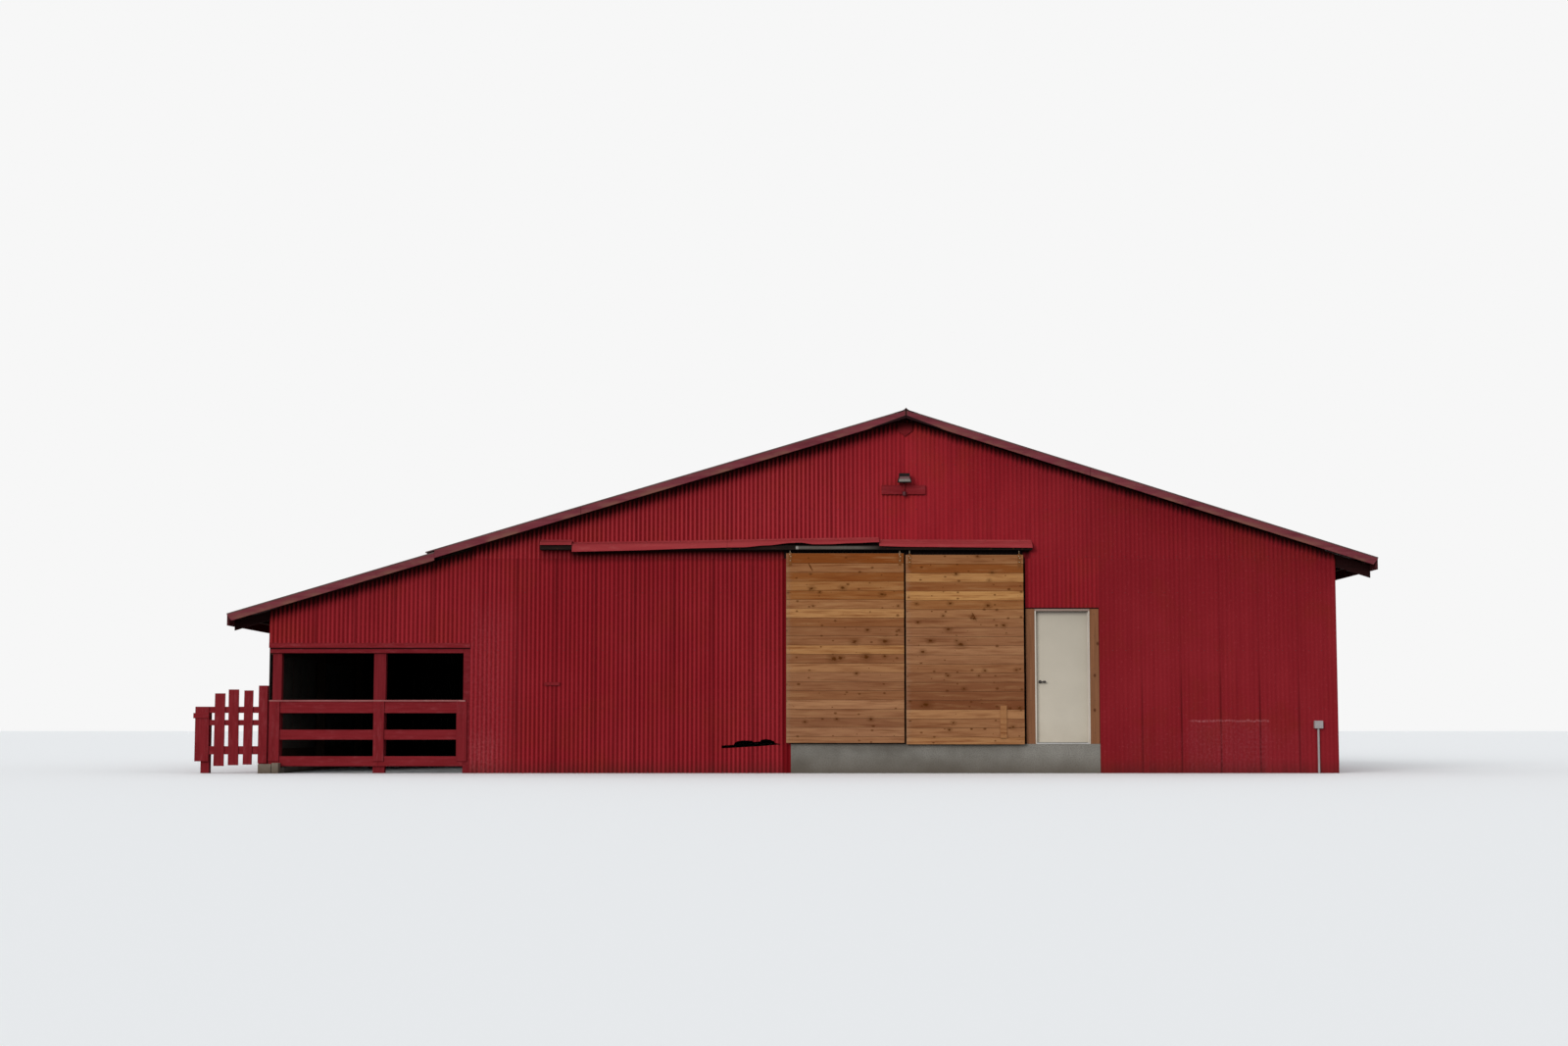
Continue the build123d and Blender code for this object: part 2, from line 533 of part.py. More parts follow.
def siding():
    """Wall sheeting, one slab for each stretch of wall beside and over its openings."""
    top = RAFTER_TOP
    front_left = box(SIDING_LEFT, DOORWAY_LEFT, 0, SIDING_DEPTH, 0, SEAM_HEIGHT) - rotted_gap()
    front_right = box(SIDING_RIGHT_START, HALF_SPAN, 0, SIDING_DEPTH, 0, SEAM_HEIGHT)
    over_entry = box(DOORWAY_RIGHT, SIDING_RIGHT_START, 0, SIDING_DEPTH, ENTRY_TOP, SEAM_HEIGHT)
    gable = prism(under_roof(SIDING_LEFT, HALF_SPAN, SEAM_HEIGHT, top), 0, SIDING_DEPTH)
    lean_outline = under_roof(LEAN_WALL, SIDING_LEFT, LEAN_SIDING_Z, top, LEAN_DROP)
    lean_front = prism(lean_outline, 0, SIDING_DEPTH)
    side_top = roof_z(HALF_SPAN, top)
    right = box(HALF_SPAN - SIDING_DEPTH, HALF_SPAN, SIDING_DEPTH, LENGTH - SIDING_DEPTH, 0,
                side_top)
    lean_side_top = roof_z(LEAN_WALL, top, LEAN_DROP)
    lean_side = box(LEAN_WALL, LEAN_WALL + SIDING_DEPTH, SIDING_DEPTH, LENGTH - SIDING_DEPTH, 0,
                    lean_side_top)
    notch = 2 * RUN_CLEARANCE
    for y0, y1 in frame_bands(LUMBER):
        right -= box(RIGHT_TAIL - HALF_SPAN, RIGHT_TAIL, y0 - notch, y1 + notch,
                     roof_z(HALF_SPAN, RAFTER_BASE) - notch, RIDGE_HEIGHT)
    for y0, y1 in frame_bands(LUMBER, LUMBER):
        lean_side -= box(-LEAN_TAIL, -HALF_SPAN, y0 - notch, y1 + notch,
                         roof_z(LEAN_WALL, LEAN_RAFTER_BASE, LEAN_DROP) - notch, RIDGE_HEIGHT)
    rear = prism(under_roof(-HALF_SPAN, HALF_SPAN, 0, top), LENGTH - SIDING_DEPTH, LENGTH)
    rear_lean = prism(under_roof(LEAN_WALL, -HALF_SPAN, 0, top, LEAN_DROP),
                      LENGTH - SIDING_DEPTH, LENGTH)
    return {"front_siding_left": [front_left], "front_siding_right": [front_right],
            "front_siding_over_entry": [over_entry], "front_gable_siding": [gable],
            "lean_front_siding": [lean_front], "right_wall_siding": [right],
            "lean_side_siding": [lean_side], "rear_siding": [rear + rear_lean]}


def bay_surround():
    """The header board over the open bay and the jamb board at its right."""
    top = LEAN_HEADER_Z + SKIRT_HEIGHT
    header = box(LEAN_WALL + SIDING_DEPTH, JAMB_LEFT - RUN_CLEARANCE, GIRT_Y, POST_Y,
                 LEAN_HEADER_Z, top)
    return [header, box(JAMB_LEFT, JAMB_LEFT + POST, GIRT_Y, POST_Y, 0, top)]


def bay_fence():
    """Rails across the open bay under a flat cap, with battens over the posts."""
    left, right = LEAN_WALL + SIDING_DEPTH, JAMB_LEFT - RUN_CLEARANCE
    fence = box(left, right, GIRT_Y, POST_Y, FENCE_RAIL_BOTTOMS[0],
                FENCE_RAIL_BOTTOMS[0] + FENCE_RAIL_HEIGHT)
    for z in FENCE_RAIL_BOTTOMS[1:]:
        fence += box(left, right, GIRT_Y, POST_Y, z, z + FENCE_RAIL_HEIGHT)
    cap_base = FENCE_CAP_TOP - FENCE_CAP_THICKNESS
    fence += box(left, right, GIRT_Y, POST_Y, FENCE_RAIL_BOTTOMS[-1], cap_base)
    fence += box(left, right, GIRT_Y, POST_Y, cap_base, FENCE_CAP_TOP)
    fence += box(left, JAMB_LEFT + FENCE_CAP_LAP, GIRT_Y - BOARD, GIRT_Y, cap_base,
                 FENCE_CAP_TOP)
    centres = (left + FENCE_BATTEN_WIDTH / 2, BAY_POST_X, JAMB_LEFT - FENCE_BATTEN_SHIFT)
    for x in centres:
        half = FENCE_BATTEN_WIDTH / 2
        fence += box(x - half, x + half, GIRT_Y - BOARD, GIRT_Y, FENCE_BATTEN_BOTTOM, cap_base)
    return fence


def fence_wing():
    """A short board fence in line with the front, left of the lean-to."""
    right = LEAN_WALL
    start = WING_END + WING_POST_INSET
    face = GIRT_Y - BOARD
    wing = box(start, start + WING_POST_WIDTH, POST_Y, POST_BACK, 0, WING_POST_TOP)
    wing += box(right - POST, right, POST_Y, POST_BACK, 0, WING_TALL)
    for z, height in WING_RAILS:
        wing += box(start, right, GIRT_Y, POST_Y, z, z + height)
    for offset, width, z0, z1 in WING_BOARDS:
        wing += box(WING_END + offset, WING_END + offset + width, face, GIRT_Y, z0, z1)
    left = WING_END - WING_CLEAT_OVERHANG
    wing += box(left, left + WING_CLEAT_LENGTH, face - BOARD, face, WING_CLEAT_BOTTOM,
                WING_CLEAT_BOTTOM + WING_CLEAT_HEIGHT)
    return wing


def corner_stones():
    """Two stone blocks laid against the lowest rail at the lean-to's front corner."""
    return [box(LEAN_WALL + x0, LEAN_WALL + x1, GIRT_Y - STONE_DEPTH, GIRT_Y, 0, top)
            for x0, x1, top in STONES]


def track():
    """The box rail, open along a slot in its base."""
    half = TRACK_WIDTH / 2
    slot = TRACK_SLOT / 2
    rail = box(TRACK_LEFT, TRACK_RIGHT, LEAF_CENTRE - half, LEAF_CENTRE + half, TRACK_BASE,
               TRACK_TOP)
    rail -= box(TRACK_LEFT, TRACK_RIGHT, LEAF_CENTRE - half + TRACK_WALL,
                LEAF_CENTRE + half - TRACK_WALL, TRACK_BASE + TRACK_WALL, TRACK_TOP - TRACK_WALL)
    rail -= box(TRACK_LEFT, TRACK_RIGHT, LEAF_CENTRE - slot, LEAF_CENTRE + slot, TRACK_BASE,
                TRACK_BASE + TRACK_WALL)
    return rail


def track_brackets():
    """Steel saddles that hold the rail to its board."""
    half = TRACK_WIDTH / 2
    front = LEAF_CENTRE - half - BRACKET_STEEL
    top = TRACK_TOP + BRACKET_STEEL
    brackets = []
    step = (TRACK_RIGHT - TRACK_LEFT - 2 * BRACKET_INSET) / (BRACKET_COUNT - 1)
    for i in range(BRACKET_COUNT):
        x0 = TRACK_LEFT + BRACKET_INSET + step * i - BRACKET_WIDTH / 2
        x1 = x0 + BRACKET_WIDTH
        bracket = box(x0, x1, front, -LUMBER, TRACK_TOP, top)
        bracket += box(x0, x1, front, front + BRACKET_STEEL, TRACK_BASE, top)
        bracket += box(x0, x1, -LUMBER - BRACKET_STEEL, -LUMBER, TRACK_TOP - BRACKET_LEG, top)
        brackets.append(bracket)
    return brackets


def cover_section(x, top, bend, foot):
    """The bent sheet cut across: a flange on the wall, a sloping top and a front lip."""
    crease = top - COVER_UPSTAND
    outline = [(0, top), (-COVER_STEEL, top), (-COVER_STEEL, crease), (-COVER_BEND, bend),
               (-COVER_REACH, foot), (COVER_STEEL - COVER_REACH, foot),
               (COVER_STEEL / 2 - COVER_BEND, bend - COVER_STEEL), (0, crease - COVER_STEEL)]
    points = [(y, TRACK_TOP + z) for y, z in outline]
    return Plane.YZ.offset(x) * make_face(Polyline(*points, close=True))


def track_covers():
    """Lengths of bent red sheet over the rail; the front lip of the third is warped upward."""
    covers = []
    for run in COVER_LENGTHS:
        sections = [cover_section(TRACK_LEFT + offset, *heights) for offset, *heights in run]
        if run is COVER_LENGTHS[-1]:
            sections.append(cover_section(TRACK_RIGHT, *COVER_LAST))
        covers.append(loft(sections, ruled=True))
    return covers


def leaf_left_edge(index):
    """The left edge of the left (0) or right (1) leaf."""
    left = LEAF_MIDDLE - LEAF_GAP / 2 - LEAF_WIDTH
    return left if index == 0 else LEAF_MIDDLE + LEAF_GAP / 2


def leaf_boards(index):
    """The face of a leaf: boards laid level, with a short batten nailed to the right one."""
    x0 = leaf_left_edge(index)
    top = LEAF_TOP - index * RIGHT_LEAF_DROP
    face = box(x0, x0 + LEAF_WIDTH, LEAF_FRONT, LEAF_FRONT + BOARD, top - LEAF_HEIGHT, top)
    if index == 1:
        right = x0 + LEAF_WIDTH - BATTEN_INSET
        foot = top - LEAF_HEIGHT + BATTEN_RISE
        face += box(right - BATTEN_WIDTH, right, LEAF_FRONT - BOARD, LEAF_FRONT, foot,
                    foot + BATTEN_LENGTH)
    return face


def leaf_frame(index):
    """The ledged frame behind the boards: stiles, rails and two braces."""
    x0 = leaf_left_edge(index)
    x1 = x0 + LEAF_WIDTH
    y0, y1 = LEAF_FRONT + BOARD, LEAF_BACK
    top = LEAF_TOP - index * RIGHT_LEAF_DROP
    base = top - LEAF_HEIGHT
    middle = (top + base) / 2
    frame = box(x0, x0 + LEAF_RAIL, y0, y1, base, top)
    frame += box(x1 - LEAF_RAIL, x1, y0, y1, base, top)
    for z in (base, middle - LEAF_RAIL / 2, top - LEAF_RAIL):
        frame += box(x0 + LEAF_RAIL, x1 - LEAF_RAIL, y0, y1, z, z + LEAF_RAIL)
    for z0, z1 in ((base + LEAF_RAIL, middle - LEAF_RAIL / 2),
                   (middle + LEAF_RAIL / 2, top - LEAF_RAIL)):
        outline = [(x0 + LEAF_RAIL, z0), (x0 + 2 * LEAF_RAIL, z0), (x1 - LEAF_RAIL, z1),
                   (x1 - 2 * LEAF_RAIL, z1)]
        frame += prism(outline, y0, y1)
    return frame


def hanger(x, top):
    """A trolley in the rail with its pendant bolt and the strap that grips the leaf."""
    wheel_z = TRACK_BASE + TRACK_WALL + RUN_CLEARANCE + WHEEL_RADIUS
    half = STRAP_WIDTH / 2
    strap_top = top + RUN_CLEARANCE + STRAP_STEEL
    front = LEAF_FRONT - STRAP_STEEL
    back = LEAF_BACK + STRAP_STEEL
    strap = box(x - half, x + half, front, LEAF_FRONT, top - STRAP_DROP, strap_top)
    strap += box(x - half, x + half, LEAF_BACK, back, top - STRAP_DROP, strap_top)
    strap += box(x - half, x + half, front, back, top + RUN_CLEARANCE, strap_top)
    bolt = Pos(x, LEAF_CENTRE, strap_top) * Cylinder(
        PENDANT_RADIUS, wheel_z - strap_top, align=(Align.CENTER, Align.CENTER, Align.MIN))
    trolley_half = WHEEL_SPACING / 2 + 0.6 * WHEEL_RADIUS
    body = box(x - trolley_half, x + trolley_half, LEAF_CENTRE - TROLLEY_WIDTH / 2,
               LEAF_CENTRE + TROLLEY_WIDTH / 2, wheel_z - TROLLEY_HEIGHT / 2,
               wheel_z + TROLLEY_HEIGHT / 2)
    hung = strap + bolt + body
    outer = TROLLEY_WIDTH / 2 + WHEEL_WIDTH
    for wheel_x in (x - WHEEL_SPACING / 2, x + WHEEL_SPACING / 2):
        turned = Plane(origin=(wheel_x, LEAF_CENTRE, wheel_z), z_dir=(0, 1, 0))
        hung += turned * Cylinder(WHEEL_RADIUS, 2 * outer)
    return hung


def leaf_hangers(index):
    """Two hangers a leaf, one near each top corner."""
    x0 = leaf_left_edge(index)
    top = LEAF_TOP - index * RIGHT_LEAF_DROP
    return [hanger(x0 + HANGER_INSET, top), hanger(x0 + LEAF_WIDTH - HANGER_INSET, top)]


def entry_casing():
    """Unpainted boards beside the entry door, in the plane of the siding."""
    top = ENTRY_TOP
    return [box(DOORWAY_RIGHT, ENTRY_LEFT, SIDING_DEPTH - BOARD, SIDING_DEPTH, THRESHOLD_TOP, top),
            box(ENTRY_POST_RIGHT, CASING_RIGHT, SIDING_DEPTH - BOARD, SIDING_DEPTH,
                THRESHOLD_TOP, top)]


def hinge_heights():
    """Centre heights of the three butt hinges."""
    return [ENTRY_SLAB_BOTTOM + HINGE_INSET, (ENTRY_SLAB_BOTTOM + ENTRY_SLAB_TOP) / 2,
            ENTRY_SLAB_TOP - HINGE_INSET]


def knuckle(z0, z1, radius):
    """An upright round bar on the hinge line."""
    bar = Cylinder(radius, z1 - z0, align=(Align.CENTER, Align.CENTER, Align.MIN))
    return Pos(HINGE_X, HINGE_Y, z0) * bar


def entry_frame():
    """The white door frame with its stops and the fixed halves of the hinges."""
    y0, y1 = -ENTRY_PROUD, ENTRY_BACK
    base = THRESHOLD_TOP
    frame = box(ENTRY_LEFT, ENTRY_RIGHT, y0, y1, base, ENTRY_TOP)
    inner_left, inner_right = ENTRY_LEFT + ENTRY_JAMB, ENTRY_RIGHT - ENTRY_JAMB
    stop_front = ENTRY_SLAB_FRONT - ENTRY_GAP - ENTRY_STOP
    stop_back = ENTRY_SLAB_FRONT - ENTRY_GAP
    frame -= box(inner_left + ENTRY_STOP, inner_right - ENTRY_STOP, y0, y1, base,
                 ENTRY_HEAD_Z - ENTRY_STOP)
    frame -= box(inner_left, inner_right, y0, stop_front, base, ENTRY_HEAD_Z)
    frame -= box(inner_left, inner_right, stop_back, y1, base, ENTRY_HEAD_Z)
    frame -= box(inner_left, inner_right, y0, y1, base, base + SILL_HEIGHT)
    third = HINGE_LENGTH / 3
    for z in hinge_heights():
        leaf = box(HINGE_X, HINGE_X + HINGE_LEAF_WIDTH, ENTRY_BACK, ENTRY_BACK + HINGE_STEEL,
                   z - HINGE_LENGTH / 2, z + HINGE_LENGTH / 2)
        pin = knuckle(z - HINGE_LENGTH / 2, z + HINGE_LENGTH / 2, HINGE_PIN_RADIUS)
        low = knuckle(z - HINGE_LENGTH / 2, z - third / 2, HINGE_RADIUS)
        high = knuckle(z + third / 2, z + HINGE_LENGTH / 2, HINGE_RADIUS)
        clear = box(HINGE_X - 2 * HINGE_RADIUS, HINGE_X + 2 * HINGE_RADIUS, ENTRY_BACK,
                    ENTRY_BACK + HINGE_STEEL, z - third / 2 - HINGE_PLAY,
                    z + third / 2 + HINGE_PLAY)
        frame += (leaf - clear) + pin + low + high
    return frame


def entry_sill():
    """The metal sill in the foot of the frame."""
    return box(ENTRY_LEFT + ENTRY_JAMB, ENTRY_RIGHT - ENTRY_JAMB, -ENTRY_PROUD, ENTRY_BACK,
               THRESHOLD_TOP, THRESHOLD_TOP + SILL_HEIGHT)


def lever_place():
    """The lever spindle's place across and its height."""
    return ENTRY_SLAB_LEFT + LEVER_BACKSET, ENTRY_SLAB_BOTTOM + LEVER_HEIGHT


def entry_slab():
    """The door slab with its halves of the hinges and a bore for the lever spindle."""
    x0, x1 = ENTRY_SLAB_LEFT, ENTRY_SLAB_LEFT + ENTRY_SLAB_WIDTH
    slab = box(x0, x1, ENTRY_SLAB_FRONT, ENTRY_SLAB_BACK, ENTRY_SLAB_BOTTOM, ENTRY_SLAB_TOP)
    third = HINGE_LENGTH / 3 - 2 * HINGE_PLAY
    for z in hinge_heights():
        leaf = box(HINGE_X - HINGE_LEAF_WIDTH, HINGE_X - HINGE_LEAF_GAP, ENTRY_SLAB_BACK,
                   ENTRY_SLAB_BACK + HINGE_STEEL + HINGE_MORTISE, z - third / 2, z + third / 2)
        barrel = knuckle(z - third / 2, z + third / 2, HINGE_RADIUS)
        slab += leaf + barrel
        slab -= knuckle(z - third, z + third, HINGE_PIN_RADIUS + HINGE_PIN_FIT)
    x, z = lever_place()
    bore = Plane(origin=(x, ENTRY_SLAB_FRONT, z), z_dir=(0, 1, 0)) * Cylinder(
        SPINDLE_RADIUS + SPINDLE_FIT, 4 * ENTRY_SLAB_THICKNESS)
    return slab - bore


def entry_lever():
    """Lever handles on both faces, on one spindle."""
    x, z = lever_place()
    across = Plane(origin=(x, (ENTRY_SLAB_FRONT + ENTRY_SLAB_BACK) / 2, z), z_dir=(0, 1, 0))
    lever = across * Cylinder(SPINDLE_RADIUS,
                              ENTRY_SLAB_THICKNESS + 2 * (LEVER_REACH - 0.75 * LEVER_GRIP))
    for face, sign in ((ENTRY_SLAB_FRONT, -1), (ENTRY_SLAB_BACK, 1)):
        rose_middle = face + sign * (RUN_CLEARANCE + ROSE_DEPTH) / 2
        lever += Plane(origin=(x, rose_middle, z), z_dir=(0, 1, 0)) * Cylinder(
            ROSE_RADIUS, ROSE_DEPTH - RUN_CLEARANCE)
        tip = face + sign * LEVER_REACH
        y0, y1 = sorted((tip, tip - sign * LEVER_GRIP))
        x0 = x - LEVER_HEEL
        grip = box(x0, x0 + LEVER_LENGTH, y0, y1, z - LEVER_THICKNESS / 2,
                   z + LEVER_THICKNESS / 2)
        lever += fillet(grip.edges().filter_by(Axis.Y), LEVER_ROUNDING)
    return lever


def wall_boards():
    """Red boards on the front siding: pointed plate, light board, track ledger, small bar."""
    half = PLATE_WIDTH / 2
    side = RIDGE_HEIGHT - PLATE_SIDE_DROP
    point = [(-half, roof_z(-half, PURLIN_TOP + RAKE_DEPTH)),
             (half, roof_z(half, PURLIN_TOP + RAKE_DEPTH)), (half, side),
             (0, RIDGE_HEIGHT - PLATE_TIP_DROP), (-half, side)]
    bar = TRACK_LEFT + BAR_INSET
    return [prism(point, -BOARD, 0),
            box(LIGHT_BOARD_LEFT, LIGHT_BOARD_RIGHT, -LUMBER, 0, LIGHT_BOARD_BOTTOM,
                LIGHT_BOARD_BOTTOM + LIGHT_BOARD_HEIGHT),
            box(TRACK_LEFT, TRACK_RIGHT, -LUMBER, 0, TRACK_BOARD_TOP - TRACK_BOARD_HEIGHT,
                TRACK_BOARD_TOP),
            box(bar, bar + BAR_LENGTH, -BAR_DEPTH, 0, BAR_BOTTOM, BAR_BOTTOM + BAR_HEIGHT)]


def flood_light():
    """A flood light on an arm from the board: a hood over a lens, and a sensor below."""
    half = LAMP_WIDTH / 2
    back = -LUMBER - LAMP_STANDOFF
    base = LIGHT_BOARD_BOTTOM + LAMP_RISE
    front = back - LAMP_DEPTH
    top = base + LAMP_HEIGHT
    hood = [(back, base), (back, top), (front + LAMP_DEPTH / 3, top), (front, base + LENS_DEPTH),
            (front, base)]
    head = extrude(Plane.YZ.offset(LAMP_X - half) * make_face(Polyline(*hood, close=True)),
                   amount=LAMP_WIDTH)
    head -= box(LAMP_X - half + LAMP_SHELL, LAMP_X + half - LAMP_SHELL, front + LAMP_SHELL,
                back - LAMP_SHELL, base - LAMP_SHELL, base + LENS_DEPTH)
    lens = box(LAMP_X - half + 2 * LAMP_SHELL, LAMP_X + half - 2 * LAMP_SHELL,
               front + 2 * LAMP_SHELL, back, base + LENS_RISE, base + LENS_DEPTH)
    stem = LIGHT_BOARD_BOTTOM + LIGHT_BOARD_HEIGHT / 2
    half_arm = LAMP_ARM_WIDTH / 2
    arm = box(LAMP_X - half_arm, LAMP_X + half_arm, back, -LUMBER, stem, base + LENS_DEPTH)
    foot = LIGHT_BOARD_BOTTOM - SENSOR_DROP
    sensor = Pos(LAMP_X, back, foot) * Cylinder(
        SENSOR_RADIUS, SENSOR_HEIGHT, align=(Align.CENTER, Align.CENTER, Align.MIN))
    half_neck = SENSOR_NECK_WIDTH / 2
    neck = box(LAMP_X - half_neck, LAMP_X + half_neck, back, -LUMBER, foot + SENSOR_HEIGHT / 2,
               stem)
    return head + lens + arm + sensor + neck


def electrical_box():
    """A meter-sized box with its conduit down to the ground."""
    right = HALF_SPAN - METER_INSET
    case = box(right - METER_WIDTH, right, -METER_DEPTH, 0, METER_BOTTOM,
               METER_BOTTOM + METER_HEIGHT)
    pipe = Pos(right - METER_WIDTH / 2, -CONDUIT_STANDOFF, 0) * Cylinder(
        CONDUIT_RADIUS, METER_BOTTOM + CONDUIT_RADIUS,
        align=(Align.CENTER, Align.CENTER, Align.MIN))
    return fillet(case.edges().filter_by(Axis.Y), METER_ROUNDING) + pipe


def model():
    """Every piece by name, as a list of solids."""
    pieces = {}
    pieces.update(footings())
    pieces["end_posts"] = end_posts()
    pieces["side_posts"] = side_posts()
    pieces["end_girts"] = end_girts()
    pieces["side_girts"] = side_girts()
    pieces.update(rafters())
    pieces.update(truss_members())
    pieces["purlins"] = purlins()
    pieces.update(roof_sheets())
    pieces["ridge_cap"] = [ridge_cap()]
    pieces["rake_boards"] = rake_boards()
    pieces["eave_fascias"] = eave_fascias()
    pieces.update(siding())
    pieces["bay_surround"] = bay_surround()
    pieces["bay_fence"] = [bay_fence()]
    pieces["fence_wing"] = [fence_wing()]
    pieces["corner_stones"] = corner_stones()
    pieces["door_track"] = [track()]
    pieces["track_brackets"] = track_brackets()
    pieces["track_covers"] = track_covers()
    for index, name in enumerate(("left_leaf", "right_leaf")):
        pieces[name + "_boards"] = [leaf_boards(index)]
        pieces[name + "_frame"] = [leaf_frame(index)]
        pieces[name + "_hangers"] = leaf_hangers(index)
    pieces["entry_casing"] = entry_casing()
    pieces["entry_frame"] = [entry_frame()]
    pieces["entry_sill"] = [entry_sill()]
    pieces["entry_slab"] = [entry_slab()]
    pieces["entry_lever"] = [entry_lever()]
    pieces["wall_boards"] = wall_boards()
    pieces["flood_light"] = [flood_light()]
    pieces["electrical_box"] = [electrical_box()]
    return pieces


os.makedirs("parts", exist_ok=True)
for name, solids in model().items():
    placed = [Pos(-ORIGIN_X, -ORIGIN_Y, 0) * solid for shape in solids for solid in shape.solids()]
    export_step(Compound(children=placed) if len(placed) > 1 else placed[0],
                "parts/" + name + ".step")
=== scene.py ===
import random
from math import ceil, cos, floor, pi, radians, sin, tan

import bmesh
import bpy
from mathutils import Matrix, Vector, noise


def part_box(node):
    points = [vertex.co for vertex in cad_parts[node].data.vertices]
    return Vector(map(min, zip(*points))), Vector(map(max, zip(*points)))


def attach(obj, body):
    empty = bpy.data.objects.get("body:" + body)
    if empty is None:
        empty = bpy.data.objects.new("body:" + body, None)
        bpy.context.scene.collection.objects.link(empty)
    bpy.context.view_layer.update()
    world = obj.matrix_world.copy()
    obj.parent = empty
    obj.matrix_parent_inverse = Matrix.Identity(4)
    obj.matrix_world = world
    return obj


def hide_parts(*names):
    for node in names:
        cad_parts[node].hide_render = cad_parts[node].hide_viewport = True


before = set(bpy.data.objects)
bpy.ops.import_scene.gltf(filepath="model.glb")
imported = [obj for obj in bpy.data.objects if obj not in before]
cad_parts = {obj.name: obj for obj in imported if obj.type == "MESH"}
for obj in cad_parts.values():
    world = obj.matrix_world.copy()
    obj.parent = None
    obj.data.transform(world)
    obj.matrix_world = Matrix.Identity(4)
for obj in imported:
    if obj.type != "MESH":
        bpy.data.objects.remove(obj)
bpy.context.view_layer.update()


# Concrete strips under the walls, raised as the threshold of the doorway. They are cast in
# place between boards: grey, pitted, a little darker and damp towards the ground.

class Shade:
    """A value or colour on its way through a finish; plain arithmetic on it adds nodes."""

    def __init__(self, socket):
        self.socket = socket

    def reckon(operation, turned=False):
        """Gives an operator: it adds a Math node, with the two sides turned round if asked."""
        def result(self, other=0.0):
            first, second = (other, self) if turned else (self, other)
            return node("Math", {0: first, 1: second}, operation=operation)
        return result

    __add__ = __radd__ = reckon("ADD")
    __mul__ = __rmul__ = reckon("MULTIPLY")
    __sub__, __rsub__ = reckon("SUBTRACT"), reckon("SUBTRACT", True)
    __truediv__, __pow__, __abs__ = reckon("DIVIDE"), reckon("POWER"), reckon("ABSOLUTE")
    __lt__, __gt__, higher = reckon("LESS_THAN"), reckon("GREATER_THAN"), reckon("MAXIMUM")
    x = property(lambda self: node("SeparateXYZ", {0: self}, 0))
    y = property(lambda self: node("SeparateXYZ", {0: self}, 1))
    z = property(lambda self: node("SeparateXYZ", {0: self}, 2))


def finish(name, roughness, metallic=0.0, specular=0.4):
    """A new finish: the material, its shader and the piece's own coordinates."""
    made = bpy.data.materials.new(name)
    made.use_nodes = True
    nodes = made.node_tree.nodes
    shader = nodes["Principled BSDF"]
    shader.inputs["Roughness"].default_value = roughness
    shader.inputs["Metallic"].default_value = metallic
    shader.inputs["Specular IOR Level"].default_value = specular
    return made, shader, Shade(nodes.new("ShaderNodeTexCoord").outputs["Object"])


def node(kind, inputs, out=0, **settings):
    """Adds a node beside those that feed it, and gives one of its outputs."""
    fed = {key: value.socket for key, value in inputs.items() if isinstance(value, Shade)}
    tree = next(iter(fed.values())).id_data
    made = tree.nodes.new("ShaderNode" + kind)
    for key, value in settings.items():
        setattr(made, key, value)
    for key, value in inputs.items():
        if key in fed:
            tree.links.new(fed[key], made.inputs[key])
        else:
            made.inputs[key].default_value = value
    return Shade(made.outputs[out])


def stretched(place, x, y, z):
    """The coordinates scaled along each axis, so that a pattern runs long across it."""
    return node("VectorMath", {0: place, 1: (x, y, z)}, operation="MULTIPLY")


def cloud(place, scale, detail=4.0, rough=0.55):
    """Noise from 0 to 1."""
    return node("TexNoise", {"Vector": place, "Scale": scale, "Detail": detail, "Roughness": rough})


def part_of(value, low, high, least=0.0, most=1.0):
    """Maps low to high onto least to most, and holds it there."""
    return node("MapRange", {0: value, 1: low, 2: high, 3: least, 4: most})


def tinted(share, first, second):
    """One colour blended into another by a share."""
    pair = [(*colour, 1) if isinstance(colour, tuple) else colour for colour in (first, second)]
    return node("Mix", {0: share, 6: pair[0], 7: pair[1]}, 2, data_type="RGBA")


def coat(shader, shade, where="Base Color"):
    """Gives a shader its colour, or another of its inputs."""
    shade.socket.id_data.links.new(shade.socket, shader.inputs[where])


def bumped(shader, height, distance, strength=1.0):
    """Raises the surface by a pattern, in metres."""
    bump = node("Bump", {"Height": height, "Distance": distance, "Strength": strength})
    coat(shader, bump, "Normal")


concrete, shader, place = finish("cast_concrete", 0.92)
blotch = cloud(place, 1.7, 6)
grit = cloud(place, 60, 3)
damp = part_of(place.z, 0.0, 0.3, 0.75, 0.0)
grey = tinted(part_of(blotch, 0.3, 0.7), (0.135, 0.122, 0.102), (0.255, 0.24, 0.21))
grey = tinted(part_of(grit, 0.45, 0.7, 0.0, 0.6), grey, (0.085, 0.076, 0.064))
grey = tinted(damp, grey, (0.08, 0.06, 0.042))
coat(shader, grey)
bumped(shader, grit, 0.004, 0.6)


def wear_finish(node_name, made):
    """Gives a CAD node its finish."""
    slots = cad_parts[node_name].data.materials
    slots.clear()
    slots.append(made)


for node_name in ("end_footings", "side_footings"):
    wear_finish(node_name, concrete)


# Two rough stone blocks laid at the foot of the lean-to's front corner. Their edges are broken
# and their faces uneven, and they are stained brown by the soil.

def into_scene(bm, name, *finishes):
    """Makes an object of a mesh that has been built, and links it."""
    bmesh.ops.recalc_face_normals(bm, faces=bm.faces)
    mesh = bpy.data.meshes.new(name)
    bm.to_mesh(mesh)
    bm.free()
    for made in finishes:
        mesh.materials.append(made)
    piece = bpy.data.objects.new(name, mesh)
    bpy.context.scene.collection.objects.link(piece)
    return piece


